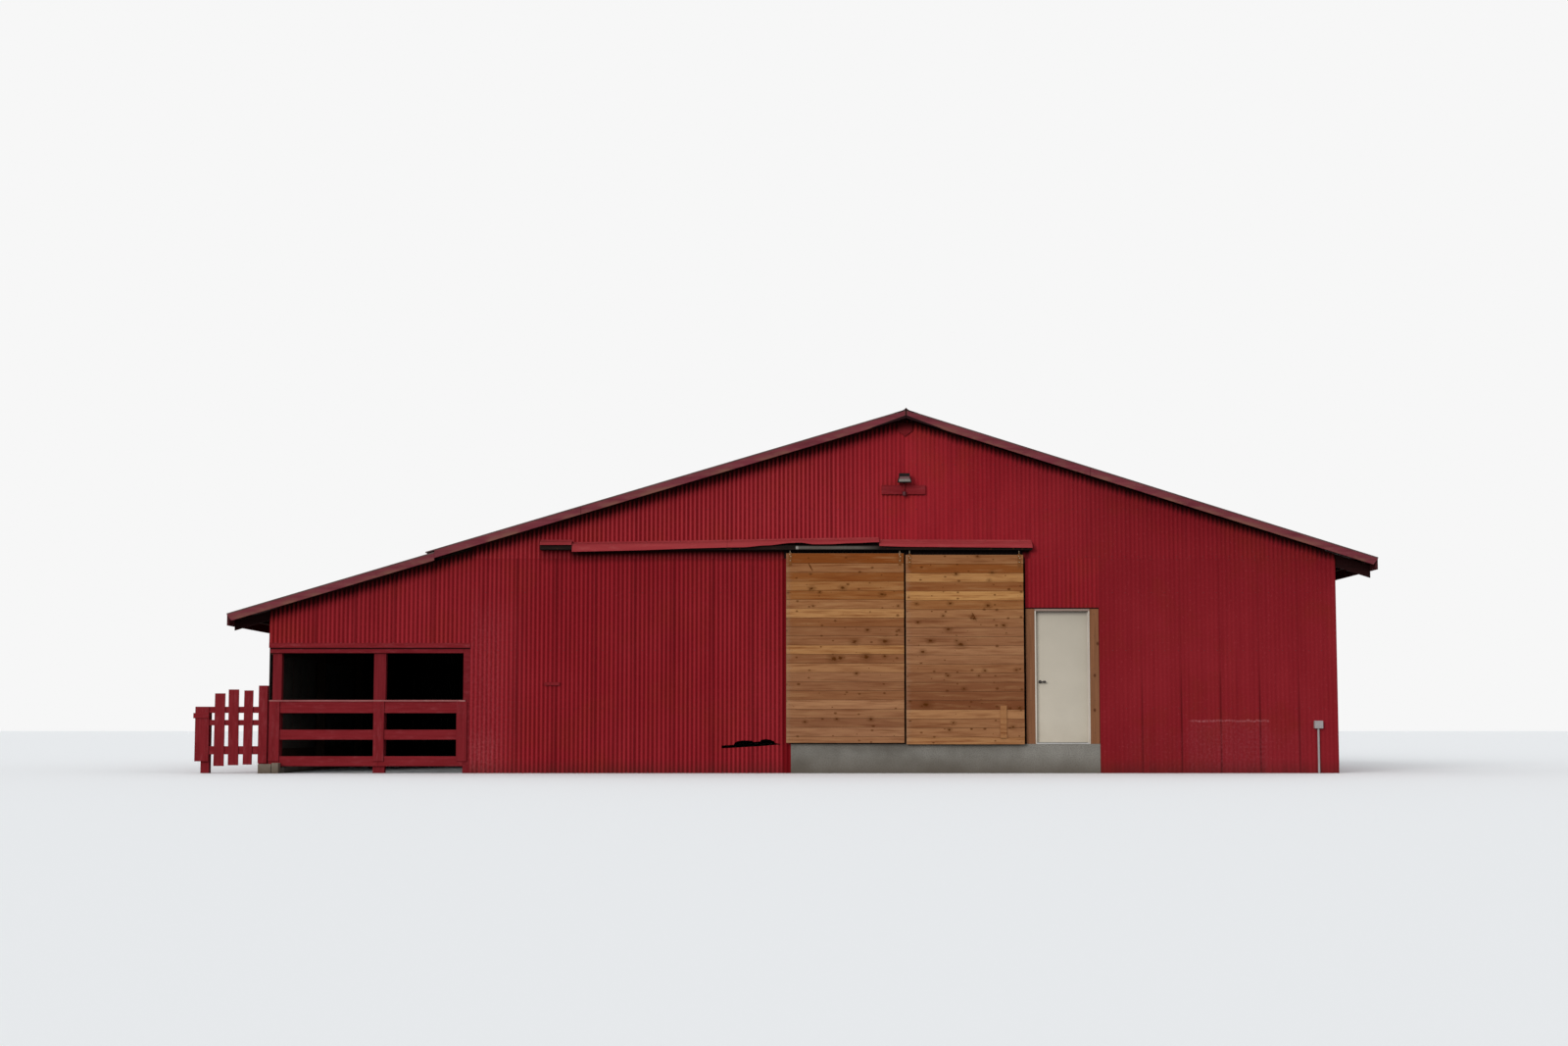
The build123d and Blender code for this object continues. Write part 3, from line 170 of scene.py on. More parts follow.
def block(bm, low, high):
    """Adds a block between two corners and gives its vertices."""
    size = Vector(high) - Vector(low)
    middle = (Vector(high) + Vector(low)) / 2
    matrix = Matrix.Translation(middle) @ Matrix.Diagonal((*size, 1))
    return bmesh.ops.create_cube(bm, size=1, matrix=matrix)["verts"]


def edges_of(verts):
    """The edges that run between these vertices."""
    inside = set(verts)
    return list({e for v in verts for e in v.link_edges if e.other_vert(v) in inside})


stone_rock, shader, place = finish("soiled_stone", 0.95)
shade = cloud(place, 9, 7)
soil = part_of(place.z, 0.02, 0.16, 0.8, 0.15)
rock = tinted(shade, (0.13, 0.095, 0.065), (0.27, 0.225, 0.18))
rock = tinted(soil, rock, (0.085, 0.06, 0.04))
coat(shader, rock)
bumped(shader, cloud(place, 70, 5), 0.006)

low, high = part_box("corner_stones")
split = low.x + 0.209
bm = bmesh.new()
for x0, x1, top in ((low.x, split - 0.001, high.z - 0.017), (split + 0.001, high.x, high.z)):
    verts = block(bm, (x0 + 0.004, low.y + 0.004, 0), (x1 - 0.004, high.y, top))
    bmesh.ops.subdivide_edges(bm, edges=edges_of(verts), cuts=5, use_grid_fill=True)
for v in bm.verts:
    near_edge = min(high.z - v.co.z, v.co.y - low.y) < 0.03
    shift = noise.noise_vector(v.co * 14) * (0.008 if near_edge else 0.004)
    v.co.x += shift.x * 0.4
    v.co.y = min(high.y, max(low.y, v.co.y + abs(shift.y)))
    v.co.z = max(0, v.co.z - abs(shift.z)) if v.co.z > 0.001 else 0
stones = into_scene(bm, "corner_stone_blocks", stone_rock)
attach(stones, "root")
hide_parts("corner_stones")


# The timber frame: posts, girts, rafters, tie beams, struts and purlins, rough sawn and nailed
# together. Inside it is bare and nearly black with age; the front posts of the open bay were
# painted with the boards, and the rafter tails and purlin ends under the eaves are painted
# near-black as painted shade.

def away_from(place, across, up, wide, tall, turn=0.0):
    """How far a place on the front is from a spot, as 1 on the edge of an oval round it."""
    apart = node("VectorMath", {0: place, 1: (across, 0, up)}, operation="SUBTRACT")
    if turn:
        apart = node("VectorRotate", {"Vector": apart, "Angle": turn}, rotation_type="Y_AXIS")
    apart = stretched(apart, 1 / wide, 0, 1 / tall)
    return node("VectorMath", {0: apart}, "Value", operation="LENGTH")


PAINTED = ((0.19, 0.0165, 0.0215), (0.13, 0.009, 0.012))


def sawn_timber(name, along, light=(0.06, 0.034, 0.022), dark=(0.024, 0.013, 0.009),
        old=(0.038, 0.026, 0.02), painted=None, paints=PAINTED, knots=()):
    """Rough timber whose grain is long along one direction, given as a scale for each axis.

    painted gives the share of it that has been painted, paints the light and dark of that, and
    knots the places of dark knots, across and up."""
    made, shader, place = finish(name, 0.9, 0.0, 0.06)
    grain = cloud(stretched(place, *along), 1.0, 8, 0.65)
    age = cloud(place, 0.9, 5)
    wood = tinted(part_of(grain, 0.3, 0.7), light, dark)
    wood = tinted(part_of(age, 0.35, 0.7, 0.0, 0.6), wood, old)
    if painted:
        wood = tinted(painted(place), wood, tinted(part_of(grain, 0.35, 0.7), *paints))
    for across, up in knots:
        far = away_from(place, across, up, 0.018, 0.026)
        wood = tinted(part_of(far, 0.5, 1.5, 0.9, 0.0), wood, (0.075, 0.022, 0.01))
    coat(shader, wood)
    saw = node("TexWave", {"Vector": place, "Scale": 55.0, "Distortion": 2.0, "Detail": 1.0}, 1,
        bands_direction="DIAGONAL")
    bumped(shader, grain + saw * 0.25, 0.003)
    return made


bay_low, bay_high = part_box("bay_surround")
WALL_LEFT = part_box("lean_side_siding")[0].x
WALL_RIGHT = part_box("right_wall_siding")[1].x


def in_the_bay(place):
    """The front posts of the open bay."""
    return (place.x < bay_high.x - 0.1) * (place.y < bay_low.y + 0.2)


def past_the_walls(place):
    """The rafter tails."""
    middle = (WALL_LEFT + WALL_RIGHT) / 2
    return abs(place.x - middle) > WALL_RIGHT - middle


def past_the_gables(place):
    """The ends of the purlins, in front of the front wall and behind the rear one."""
    front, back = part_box("front_siding_left")[0].y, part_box("rear_siding")[1].y
    return abs(place.y - (front + back) / 2) > (back - front) / 2


# Near-black coats for the rafter tails and purlin ends under the eaves: painted shade.
SHADE_COATS = ((0.026, 0.007, 0.007), (0.012, 0.004, 0.004))
upright_timber = sawn_timber("rough_posts", (34, 34, 1.3), painted=in_the_bay)
level_timber = sawn_timber("rough_girts", (1.3, 34, 34), painted=past_the_walls, paints=SHADE_COATS)
deep_timber = sawn_timber("rough_purlins", (34, 1.3, 34), painted=past_the_gables, paints=SHADE_COATS)
for node_name in ("end_posts", "side_posts", "truss_struts"):
    wear_finish(node_name, upright_timber)
for node_name in ("end_girts", "hall_rafters", "lean_rafters", "tie_beams"):
    wear_finish(node_name, level_timber)
for node_name in ("side_girts", "purlins"):
    wear_finish(node_name, deep_timber)


# Wall sheets: thin steel rolled to corrugations 67.7 mm apart, in sheets that cover nine of them,
# each lapped over the next and screwed through its ribs to the girts. The red paint is weathered
# and chalky near the ground; the troughs and laps are darkened as dirt and painted shade, the
# crests lightened as a painted highlight, and the band under the rakes darkened as painted shade
# and grime.

RIB = 0.06773
SHEET_COVER = 9 * RIB
SHEET_LAP = 1.5 * RIB
STEEL = 0.001
LAP_RISE = 0.0016
DENT = 0.0007
NARROWEST_SHEET = 0.12
LAP_DARK_REACH = 0.03


def on_sheets(bm, along, place, levels, depth, keep=None, columns=8, dirt_and_shade=lambda h: 1.0,
        cut=SHEET_COVER):
    """Adds corrugated sheets side by side: levels gives each column's heights, foot to head,
    dirt_and_shade how dark the troughs are painted at a height, as dirt and painted shade, and cut
    the first sheet's width."""
    layers = bm.verts.layers.float
    trough = layers.get("trough") or layers.new("trough")
    lap = layers.get("lap") or layers.new("lap")
    start, end = along
    first = start
    while first < end - 0.02:
        last = min(first + cut + SHEET_LAP, end)
        if end - last < NARROWEST_SHEET:
            last = end
        count = max(2, ceil((last - first) / (RIB / columns)))
        grid = []
        for i in range(count + 1):
            s = first + (last - first) * i / count
            wave = 0.5 + 0.5 * cos(2 * pi * s / RIB)
            rise = LAP_RISE * (s - first) / (cut + SHEET_LAP)
            column = []
            for h in levels(s):
                dent = noise.noise(Vector((s * 0.9, h * 0.7, start))) * DENT
                v = bm.verts.new(place(s, h, wave * depth + rise + DENT + dent))
                v[trough] = (1 - wave) * dirt_and_shade(h)
                edges = [last] * (last < end) + [first + SHEET_LAP] * (first > start)
                v[lap] = max([0.0] + [1 - abs(s - edge) / LAP_DARK_REACH for edge in edges])
                column.append(v)
            grid.append(column)
        for i in range(count):
            s = first + (last - first) * (i + 0.5) / count
            for j in range(len(grid[0]) - 1):
                if keep is None or keep(s, j):
                    corners = (grid[i][j], grid[i + 1][j], grid[i + 1][j + 1], grid[i][j + 1])
                    sides = ((corners[0], corners[3]), (corners[1], corners[2]))
                    if any((foot.co - head.co).length > 1e-5 for foot, head in sides):
                        bm.faces.new(corners)
        if last >= end - 1e-6:
            break
        first += cut
        cut = SHEET_COVER


def screw_heads(bm, spots, out, radius):
    """Adds domed screw heads at places on a surface, pointing out of it."""
    out = Vector(out).normalized()
    side = out.cross(Vector((0.3, 0.5, 0.81))).normalized()
    up = out.cross(side)
    for spot in spots:
        rings = []
        for share, rise in ((1.0, -0.002), (0.95, 0.0012), (0.55, 0.0032)):
            middle = Vector(spot) + out * rise
            round_it = [side * cos(k * pi / 4) + up * sin(k * pi / 4) for k in range(8)]
            rings.append([bm.verts.new(middle + radius * share * away) for away in round_it])
        for low_ring, high_ring in zip(rings, rings[1:]):
            for k in range(8):
                bm.faces.new((low_ring[k], low_ring[k - 7], high_ring[k - 7], high_ring[k]))
        bm.faces.new(rings[-1])
        bm.faces.new(list(reversed(rings[0])))


def screwed(name, spots, out, made, body="root", radius=0.007):
    """Makes a piece of the screw or nail heads at these places."""
    bm = bmesh.new()
    screw_heads(bm, spots, out, radius)
    heads = into_scene(bm, name, made)
    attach(heads, body)


def as_steel(bm, name, inward, *finishes):
    """Gives a skin of sheet its thickness, towards the inward side, with smooth ribs.

    A second finish, where there is one, is the bare back of the sheet."""
    bmesh.ops.remove_doubles(bm, verts=bm.verts, dist=1e-6)
    loose = [v for v in bm.verts if not v.link_faces]
    bmesh.ops.delete(bm, geom=loose, context="VERTS")
    back = {v: bm.verts.new(v.co + Vector(inward) * STEEL) for v in list(bm.verts)}
    for layer in bm.verts.layers.float.values():
        for v, twin in back.items():
            twin[layer] = v[layer]
    skin = list(bm.faces)
    rims = [e for e in bm.edges if len(e.link_faces) == 1]
    for face in skin:
        bm.faces.new([back[v] for v in reversed(face.verts)]).material_index = len(finishes) - 1
    for edge in rims:
        a, b = edge.verts
        bm.faces.new((a, b, back[b], back[a]))
    for face in bm.faces:
        face.smooth = True
    piece = into_scene(bm, name, *finishes)
    piece.data.set_sharp_from_angle(angle=radians(50))
    return piece


ridge_low, ridge_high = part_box("ridge_cap")
RIDGE_X = (ridge_low.x + ridge_high.x) / 2
RIDGE_TOP = 5.630
RIGHT_SLOPE = radians(17.49)
LEFT_SLOPE = radians(16.65)
LEAN_DROP = 0.040
SIDING_UNDER_ROOF = 0.109
left_low, left_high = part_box("front_siding_left")
HALL_LEFT = left_low.x + 0.058


def under_roof(place):
    """How far a place lies under the top of the roof."""
    x = place.x
    right = (x - RIDGE_X) * tan(RIGHT_SLOPE)
    left = (RIDGE_X - x) * tan(LEFT_SLOPE)
    lean = (x < HALL_LEFT) * LEAN_DROP
    fall = right.higher(left) + lean
    return RIDGE_TOP - fall - place.z


def shadow_under_the_cover(place):
    """How dark the wall is painted below the track and its cover, as painted shadow."""
    rail_low, rail_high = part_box("door_track")
    x = place.x
    line = part_of(x, rail_low.x + 0.5, rail_low.x + 2.1, rail_high.z - 0.106, rail_low.z)
    below = line - place.z
    share = part_of(below, 0.025, 0.19, 0.94, 0.0) * part_of(below, -0.1, -0.06)
    right_end = part_of(x, rail_high.x - 0.05, rail_high.x, 1.0, 0.0)
    left_end = part_of(x, rail_low.x - 0.02, rail_low.x + 0.03, 0.0, 0.5)
    left_end = left_end + part_of(x, rail_low.x + 0.46, rail_low.x + 0.51, 0.0, 0.5)
    return share * (right_end * left_end)


def marked(place, layer):
    """What the mesh says of a place: how deep in a trough it is, or how near a lap."""
    made = place.socket.id_data.nodes.new("ShaderNodeAttribute")
    made.attribute_name = layer
    return Shade(made.outputs[2])


def between(value, low, high, soft):
    """1 from low to high and 0 outside, with soft ends."""
    return part_of(value, low - soft, low + soft) * part_of(value, high - soft, high + soft, 1.0,
        0.0)


def red_paint(name, faded=(), seams=(0.55, 0.55), painted_shade=None, shaded=None, depth=(1.0, 1.0),
        crest_highlights=(0.12, 0.0), shadowed_under_cover=False):
    """Weathered red paint; faded lists places where it has gone chalky: left, right, foot, top,
    colour, share and how soft the edges are.

    seams is how dark the laps are low and high up, from dirt and painted shadow; painted_shade is a
    stretch, left, right and top, painted near-black as painted shadow; shaded is where the painted
    shade beside an opening begins; depth is how strong the paint's own colour is at the ridge and
    well to the right of it; crest_highlights is how strong the painted highlight on the ribs'
    crests is, well left of the ridge and beyond it, the first also lessening the dark in the
    troughs from near the ridge on; shadowed_under_cover is for the sheets that get a painted shadow
    below the track cover. The troughs are darkened as dirt and painted shade, and the band under
    the rakes as painted shade and grime."""
    made, shader, place = finish(name, 0.7, 0.0, 0.03)
    trough = marked(place, "trough")
    lap = marked(place, "lap")
    broad = cloud(place, 0.45, 5)
    streak = cloud(stretched(place, 11, 11, 0.6), 1.0, 6, 0.6)
    fine = cloud(place, 26, 5, 0.65)
    hue = cloud(place, 1.7, 3)
    paint = tinted(part_of(broad, 0.35, 0.68), (0.268, 0.0125, 0.019), (0.325, 0.0205, 0.028))
    paint = tinted(part_of(hue, 0.5, 0.72, 0.0, 0.5), paint, (0.255, 0.0215, 0.014))
    strong = part_of(place.x, RIDGE_X, RIDGE_X + 3.2, *depth)
    paint = node("VectorMath", {0: paint, "Scale": strong}, operation="SCALE")
    paint = tinted(part_of(streak, 0.45, 0.75, 0.0, 0.55), paint, (0.175, 0.0078, 0.0125))
    paint = tinted(part_of(fine, 0.56, 0.76, 0.0, 0.45), paint, (0.36, 0.052, 0.06))
    near_the_ridge = part_of(place.x, RIDGE_X - 1.4, RIDGE_X - 0.1)
    # The troughs are darkened as dirt and painted shade.
    dirt_and_shade = trough ** 1.4 * part_of(fine, 0.25, 0.65, 0.5, 0.82)
    dirt_and_shade = dirt_and_shade * part_of(near_the_ridge, 0.0, 1.0, 1.0, 1.0 - crest_highlights[0])
    paint = tinted(dirt_and_shade, paint, (0.076, 0.0006, 0.0012))
    # Painted highlight: the ribs' crests are lightened, most well left of the ridge.
    crest_highlight = part_of(trough, 0.0, 0.35, 1.0, 0.0) * part_of(near_the_ridge, 0.0, 1.0, *crest_highlights)
    paint = tinted(crest_highlight, paint, (0.4, 0.05, 0.056))
    # The laps are darkened as dirt and painted shadow.
    often = part_of(place.z, 0.9, 1.7, *seams)
    lap_dirt_and_shadow = lap ** 1.5 * (often * part_of(streak, 0.3, 0.6, 0.5, 1.0))
    paint = tinted(lap_dirt_and_shadow, paint, (0.055, 0.002, 0.003))
    for x0, x1, foot, top, colour, most, soft in faded:
        inside = between(place.x, x0, x1, soft)
        ragged = place.z + part_of(streak, 0.3, 0.7, -soft, soft)
        inside = inside * part_of(ragged, top - soft, top + soft, most, 0.0)
        inside = inside * part_of(ragged, foot - soft, foot + soft)
        worn = inside * part_of(fine, 0.42, 0.62, 0.15, 1.0)
        paint = tinted(worn, paint, colour)
    low_dirt = part_of(place.z, 0.0, 0.22, 0.55, 0.0)
    low_dirt = low_dirt * part_of(streak, 0.3, 0.6, 0.4, 1.0)
    paint = tinted(low_dirt, paint, (0.055, 0.014, 0.01))
    # Painted shade and grime under the rakes, reaching deeper in the troughs.
    rake_shade_and_grime = under_roof(place) - trough * 0.1 - part_of(streak, 0.3, 0.7, 0.0, 0.05)
    paint = tinted(part_of(rake_shade_and_grime, 0.08, 0.2, 0.93, 0.0), paint, (0.02, 0.003, 0.003))
    x = place.x
    if shaded:
        inside = part_of(x, shaded - 0.03, shaded + 0.04)
        paint = tinted(inside * 0.75, paint, (0.12, 0.001, 0.003))
    # Painted shadow on the wall below the track and its cover.
    if shadowed_under_cover:
        paint = tinted(shadow_under_the_cover(place), paint, (0.004, 0.0004, 0.0004))
    # A stretch painted near-black as painted shadow.
    if painted_shade:
        behind = (x > painted_shade[0]) * (x < painted_shade[1])
        behind = behind * part_of(place.z, painted_shade[2] - 0.02, painted_shade[2], 1.0, 0.0)
        paint = tinted(behind, paint, (0.006, 0.003, 0.003))
    coat(shader, paint)
    coat(shader, part_of(fine, 0.3, 0.8, 0.6, 0.82), "Roughness")
    bumped(shader, fine, 0.001, 0.7)
    return made


def mottled(name, scale, first, second, *gloss, detail=4.0):
    """A finish of two colours in blotches; gloss is its roughness, metal and shine."""
    made, shader, place = finish(name, *gloss)
    coat(shader, tinted(cloud(place, scale, detail), first, second))
    return made


bare_back, shader, place = finish("bare_back_of_sheets", 0.7, 0.3, 0.3)
aged = tinted(cloud(place, 3, 5), (0.028, 0.024, 0.021), (0.075, 0.066, 0.058))
aged = tinted(part_of(cloud(place, 14, 6), 0.6, 0.75, 0.0, 0.6), aged, (0.06, 0.026, 0.014))
coat(shader, aged)


def roof_line(x, below=0.0, drop=0.0):
    """Height of the line that lies some way below the top of the roof, at a place across."""
    slope = RIGHT_SLOPE if x > RIDGE_X else LEFT_SLOPE
    return RIDGE_TOP - drop - tan(slope) * abs(x - RIDGE_X) - below / cos(slope)


def evenly(foot, head, rows):
    """Heights from foot to head."""
    return [foot + (head - foot) * j / rows for j in range(rows + 1)]


FRONT = left_low.y
SLIVER = 0.0002
SIDING_DEEP = 0.018
RIBS_DEEP = SIDING_DEEP - STEEL - LAP_RISE - 2 * DENT - SLIVER
SHALLOW_RIBS = 0.0045
PROUD = 0.0015

right_low, right_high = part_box("front_siding_right")
leaf_low, leaf_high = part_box("left_leaf_boards")
leaves_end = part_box("right_leaf_boards")[1].x
front_paint = red_paint("front_red_paint")
# Left of the doorway the wall is darkened as painted shade beside the leaf, and as painted shadow
# below the track cover.
left_paint = red_paint("left_front_red_paint", shaded=left_high.x - 0.135, shadowed_under_cover=True, faded=(
    (HALL_LEFT - 0.3, HALL_LEFT + 0.55, -1.0, 2.6, (0.34, 0.045, 0.055), 0.34, 0.25),
    (HALL_LEFT - 0.3, HALL_LEFT + 0.38, -1.0, 0.62, (0.36, 0.075, 0.08), 0.3, 0.12)))
# The gable is painted near-black as painted shadow above the leaves, behind the track, and darkened
# as painted shadow below the track cover.
gable_paint = red_paint("gable_red_paint", seams=(0.55, 0.12), depth=(1.14, 0.79),
    crest_highlights=(0.5, 0.0), shadowed_under_cover=True, painted_shade=(leaf_low.x - 0.03, leaves_end, leaf_high.z + 0.2))
# Left and right edge from the entry door, foot, top, colour, share and softness of each patch.
FADED_RIGHT = ((1.37, 2.62, -1.0, 0.8, (0.27, 0.05, 0.06), 0.24, 0.04),
    (1.4, 2.62, 0.79, 0.82, (0.42, 0.15, 0.16), 0.5, 0.01),
    (0.35, 3.2, -1.0, 0.62, (0.25, 0.04, 0.05), 0.15, 0.12))
right_paint = red_paint("right_front_red_paint", [(right_low.x + x0, right_low.x + x1, *more)
    for x0, x1, *more in FADED_RIGHT], (1.0, 0.15), depth=(0.785, 0.745))
screw_paint = mottled("painted_screw_heads", 20, (0.15, 0.009, 0.012), (0.1, 0.012, 0.014), 0.6)


def front_place(depth_back):
    """Places a point of a front sheet: along x, up z, and out towards the viewer."""
    return lambda s, h, d: (s, depth_back - d, h)


def ribs_between(start, end, every=3):
    """Places of the ribs that take a screw."""
    return [k * RIB for k in range(ceil(start / RIB) + 1, floor(end / RIB)) if k % every == 0]


def front_screws(x0, x1, heights, face, head=lambda x: RIDGE_TOP):
    """Places for screws on a front wall, as far up as its cut edge."""
    return [(x, face, z) for z in heights for x in ribs_between(x0, x1) if z < head(x) - 0.05]


def wall_piece(bm, name, paint, cad_node, screws, out=(0, -1, 0)):
    """Finishes a wall of sheets: its steel, its screws, and what it replaces."""
    piece = as_steel(bm, name, [-part for part in out], paint, bare_back)
    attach(piece, "root")
    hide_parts(cad_node)
    screwed(name + "_screws", screws, out, screw_paint)


GIRT_HEIGHTS = (0.25, 0.998, 1.896, 2.794, 3.31)

# The front left of the doorway. Rust has eaten a ragged gap through its foot, beside the
# doorway, and a strip of sheet is left below it.
low, high = left_low, left_high
# Distance from the doorway's edge, and heights of the gap's lower and upper edge there.
ROT = ((-1.068, 0.382, 0.426), (-0.883, 0.39, 0.436), (-0.863, 0.392, 0.474),
    (-0.834, 0.394, 0.49), (-0.743, 0.4, 0.502), (-0.607, 0.408, 0.501), (-0.584, 0.409, 0.481),
    (-0.482, 0.414, 0.485), (-0.459, 0.416, 0.514), (-0.379, 0.423, 0.525), (-0.303, 0.43, 0.51),
    (-0.258, 0.433, 0.486), (-0.246, 0.434, 0.464), (-0.137, 0.442, 0.442))


def rot_edges(x):
    """Lower and upper edge of the rusted gap at a place across."""
    t = x - high.x
    if t <= ROT[0][0]:
        return ROT[0][1:]
    for (t0, low0, up0), (t1, low1, up1) in zip(ROT, ROT[1:]):
        if t <= t1:
            k = (t - t0) / (t1 - t0)
            chew = noise.noise(Vector((x * 55, 3, 1))) * 0.014 * min(1, 4 * k, 4 * (1 - k) + 1)
            return low0 + (low1 - low0) * k, max(low0, up0 + (up1 - up0) * k + chew)
    return ROT[-1][1:]


def left_levels(x):
    """Row heights of the left front, with one pair of rows along the rusted gap."""
    under, over = rot_edges(x)
    return [0.0, under * 0.5, under, over] + evenly(over, high.z, 5)[1:]


def beside_the_gap(x, row):
    """The rows and columns that rust has left whole."""
    return row != 2 or not ROT[0][0] < x - left_high.x < ROT[-1][0]


bm = bmesh.new()
on_sheets(bm, (low.x, high.x), front_place(high.y - SLIVER), left_levels, RIBS_DEEP, beside_the_gap)
spots = front_screws(low.x, high.x, GIRT_HEIGHTS[1:], low.y + PROUD)
wall_piece(bm, "front_sheets_left", left_paint, "front_siding_left", spots)

# The front right of the entry door, in shallower sheets whose laps show as dark lines of dirt and
# painted shadow. Little dirt and painted shade darken their troughs, and the first of them is cut
# narrower than the rest.
bm = bmesh.new()
low, high = right_low, right_high
on_sheets(bm, (low.x, high.x), front_place(high.y - 0.006), lambda x: evenly(0, high.z, 12),
    SHALLOW_RIBS, dirt_and_shade=lambda h: 0.25 + 0.15 * min(1, max(0, (h - 2.3) / 0.8)), cut=0.559)
spots = front_screws(low.x, high.x, GIRT_HEIGHTS[1:], low.y + 0.0055)
wall_piece(bm, "front_sheets_right", right_paint, "front_siding_right", spots)

# The short sheets over the entry door. They are shallower than the long ones, and painted black
# along their foot as painted shadow.
bm = bmesh.new()
low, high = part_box("front_siding_over_entry")
# The foot of these sheets is painted black as painted shadow above the door frame.
over_paint = red_paint("over_entry_red_paint", seams=(0.55, 0.1), depth=(0.96, 0.94),
    painted_shade=(low.x, high.x, low.z + 0.03))
on_sheets(bm, (low.x, high.x), front_place(high.y - 0.002), lambda x: evenly(low.z, high.z, 2),
    0.011, dirt_and_shade=lambda h: 0.65)
spots = front_screws(low.x, high.x, (2.6,), low.y + 0.003)
wall_piece(bm, "front_sheets_over_entry", over_paint, "front_siding_over_entry", spots)

# The gable sheets stand on the long sheets below, cut to the slope under the roof. Right of the
# ridge they are shallower, with less dirt and painted shade in their troughs.
bm = bmesh.new()
low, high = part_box("front_gable_siding")


def gable_head(x):
    """Height of the cut edge under the roof."""
    return roof_line(x, SIDING_UNDER_ROOF)


on_sheets(bm, (low.x, RIDGE_X), front_place(high.y - SLIVER),
    lambda x: evenly(low.z, gable_head(x), 3), RIBS_DEEP)
on_sheets(bm, (RIDGE_X, high.x), front_place(high.y - 0.002),
    lambda x: evenly(low.z, gable_head(x), 3), 0.01, dirt_and_shade=lambda h: 0.6)
spots = front_screws(low.x, high.x, (3.36, 4.1, 4.8), low.y + PROUD, gable_head)
wall_piece(bm, "front_sheets_gable", gable_paint, "front_gable_siding", spots)

# The lean-to's front sheets hang over the open bay, down to its header board, and are cut to
# the lean-to's own slope at the top.
bm = bmesh.new()
low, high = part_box("lean_front_siding")


def lean_head(x):
    """Height of the cut edge under the lean-to's roof."""
    return roof_line(x, SIDING_UNDER_ROOF, LEAN_DROP)


on_sheets(bm, (low.x, high.x), front_place(high.y - SLIVER),
    lambda x: evenly(low.z, lean_head(x), 3), RIBS_DEEP - 0.002)
spots = front_screws(low.x, high.x, (2.01,), low.y + 0.0035, lean_head)
wall_piece(bm, "front_sheets_lean", front_paint, "lean_front_siding", spots)

# The plain walls at the sides and the back are sheeted in the same way, with plain red paint and
# a row of screws along each girt.
SHRUNK = 0.0012
for name, cad_node, rows, girts, way in (("right_wall_sheets", "right_wall_siding", 5, 4, 1),
        ("lean_side_sheets", "lean_side_siding", 4, 3, -1)):
    bm = bmesh.new()
    low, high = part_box(cad_node)
    inner, outer = (low.x, high.x) if way > 0 else (high.x, low.x)
    on_sheets(bm, (low.y, high.y), lambda s, h, d: (inner + way * (SHRUNK + d), s, h),
        lambda s: evenly(0, high.z, rows), RIBS_DEEP)
    spots = [(outer - way * PROUD, y, z) for z in GIRT_HEIGHTS[:girts]
        for y in ribs_between(low.y, high.y)]
    wall_piece(bm, name, front_paint, cad_node, spots, (way, 0, 0))

bm = bmesh.new()
low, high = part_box("rear_siding")
for x0, x1, drop in ((low.x, HALL_LEFT, LEAN_DROP), (HALL_LEFT, RIDGE_X, 0), (RIDGE_X, high.x, 0)):
    def rear_levels(x):
        return evenly(0, roof_line(min(x, x1 - 1e-5), SIDING_UNDER_ROOF, drop), 6)

    on_sheets(bm, (x0, x1), lambda s, h, d: (s, low.y + SHRUNK + d, h), rear_levels, RIBS_DEEP)
spots = [(x, high.y - PROUD, z) for z in (*GIRT_HEIGHTS, 4.1, 4.8)
    for x in ribs_between(low.x, high.x)
    if z < roof_line(x, SIDING_UNDER_ROOF, LEAN_DROP) - 0.08]
wall_piece(bm, "rear_sheets", front_paint, "rear_siding", spots, (0, 1, 0))


# Roof sheets: the same corrugations, run down the slope over the purlins, their last ribs
# turned down over the rakes. The red paint is thin and dull here, with galvanised steel showing.

roof_paint, shader, place = finish("worn_roof_paint", 0.55, 0.0, 0.4)
trough = marked(place, "trough")
lap = marked(place, "lap")
patches = cloud(stretched(place, 0.6, 1.5, 0.6), 1.0, 7, 0.6)
runs = cloud(stretched(place, 0.7, 14, 0.7), 1.0, 5, 0.6)
old_red = tinted(part_of(patches, 0.35, 0.7), (0.155, 0.03, 0.03), (0.23, 0.075, 0.068))
old_red = tinted(part_of(runs, 0.55, 0.85, 0.0, 0.6), old_red, (0.25, 0.2, 0.185))
old_red = tinted(trough * 0.35, old_red, (0.075, 0.022, 0.018))
old_red = tinted(lap * 0.5, old_red, (0.05, 0.015, 0.012))
coat(shader, old_red)
bumped(shader, cloud(place, 40, 4), 0.0006, 0.7)

sheet_edge, shader, place = finish("dull_sheet_edges", 0.7, 0.0, 0.2)
dull = tinted(cloud(stretched(place, 1.2, 20, 20), 1.0, 5), (0.075, 0.036, 0.034),
    (0.135, 0.085, 0.078))
coat(shader, dull)

ROOF_DEEP = 0.020
ROOF_RIBS = ROOF_DEEP - STEEL - LAP_RISE - 2 * DENT - 0.001
TURNED = ROOF_DEEP - STEEL - 0.0008
FIRST_PURLIN = 0.12
PURLIN_PITCH = 0.68
EAVE_GAP = 0.006


def swept(bm, rings):
    """Joins rings of points into one closed bar."""
    made = [[bm.verts.new(point) for point in ring] for ring in rings]
    for first, second in zip(made, made[1:]):
        for k in range(len(first)):
            bm.faces.new((first[k - 1], first[k], second[k], second[k - 1]))
    bm.faces.new(made[0])
    bm.faces.new(list(reversed(made[-1])))


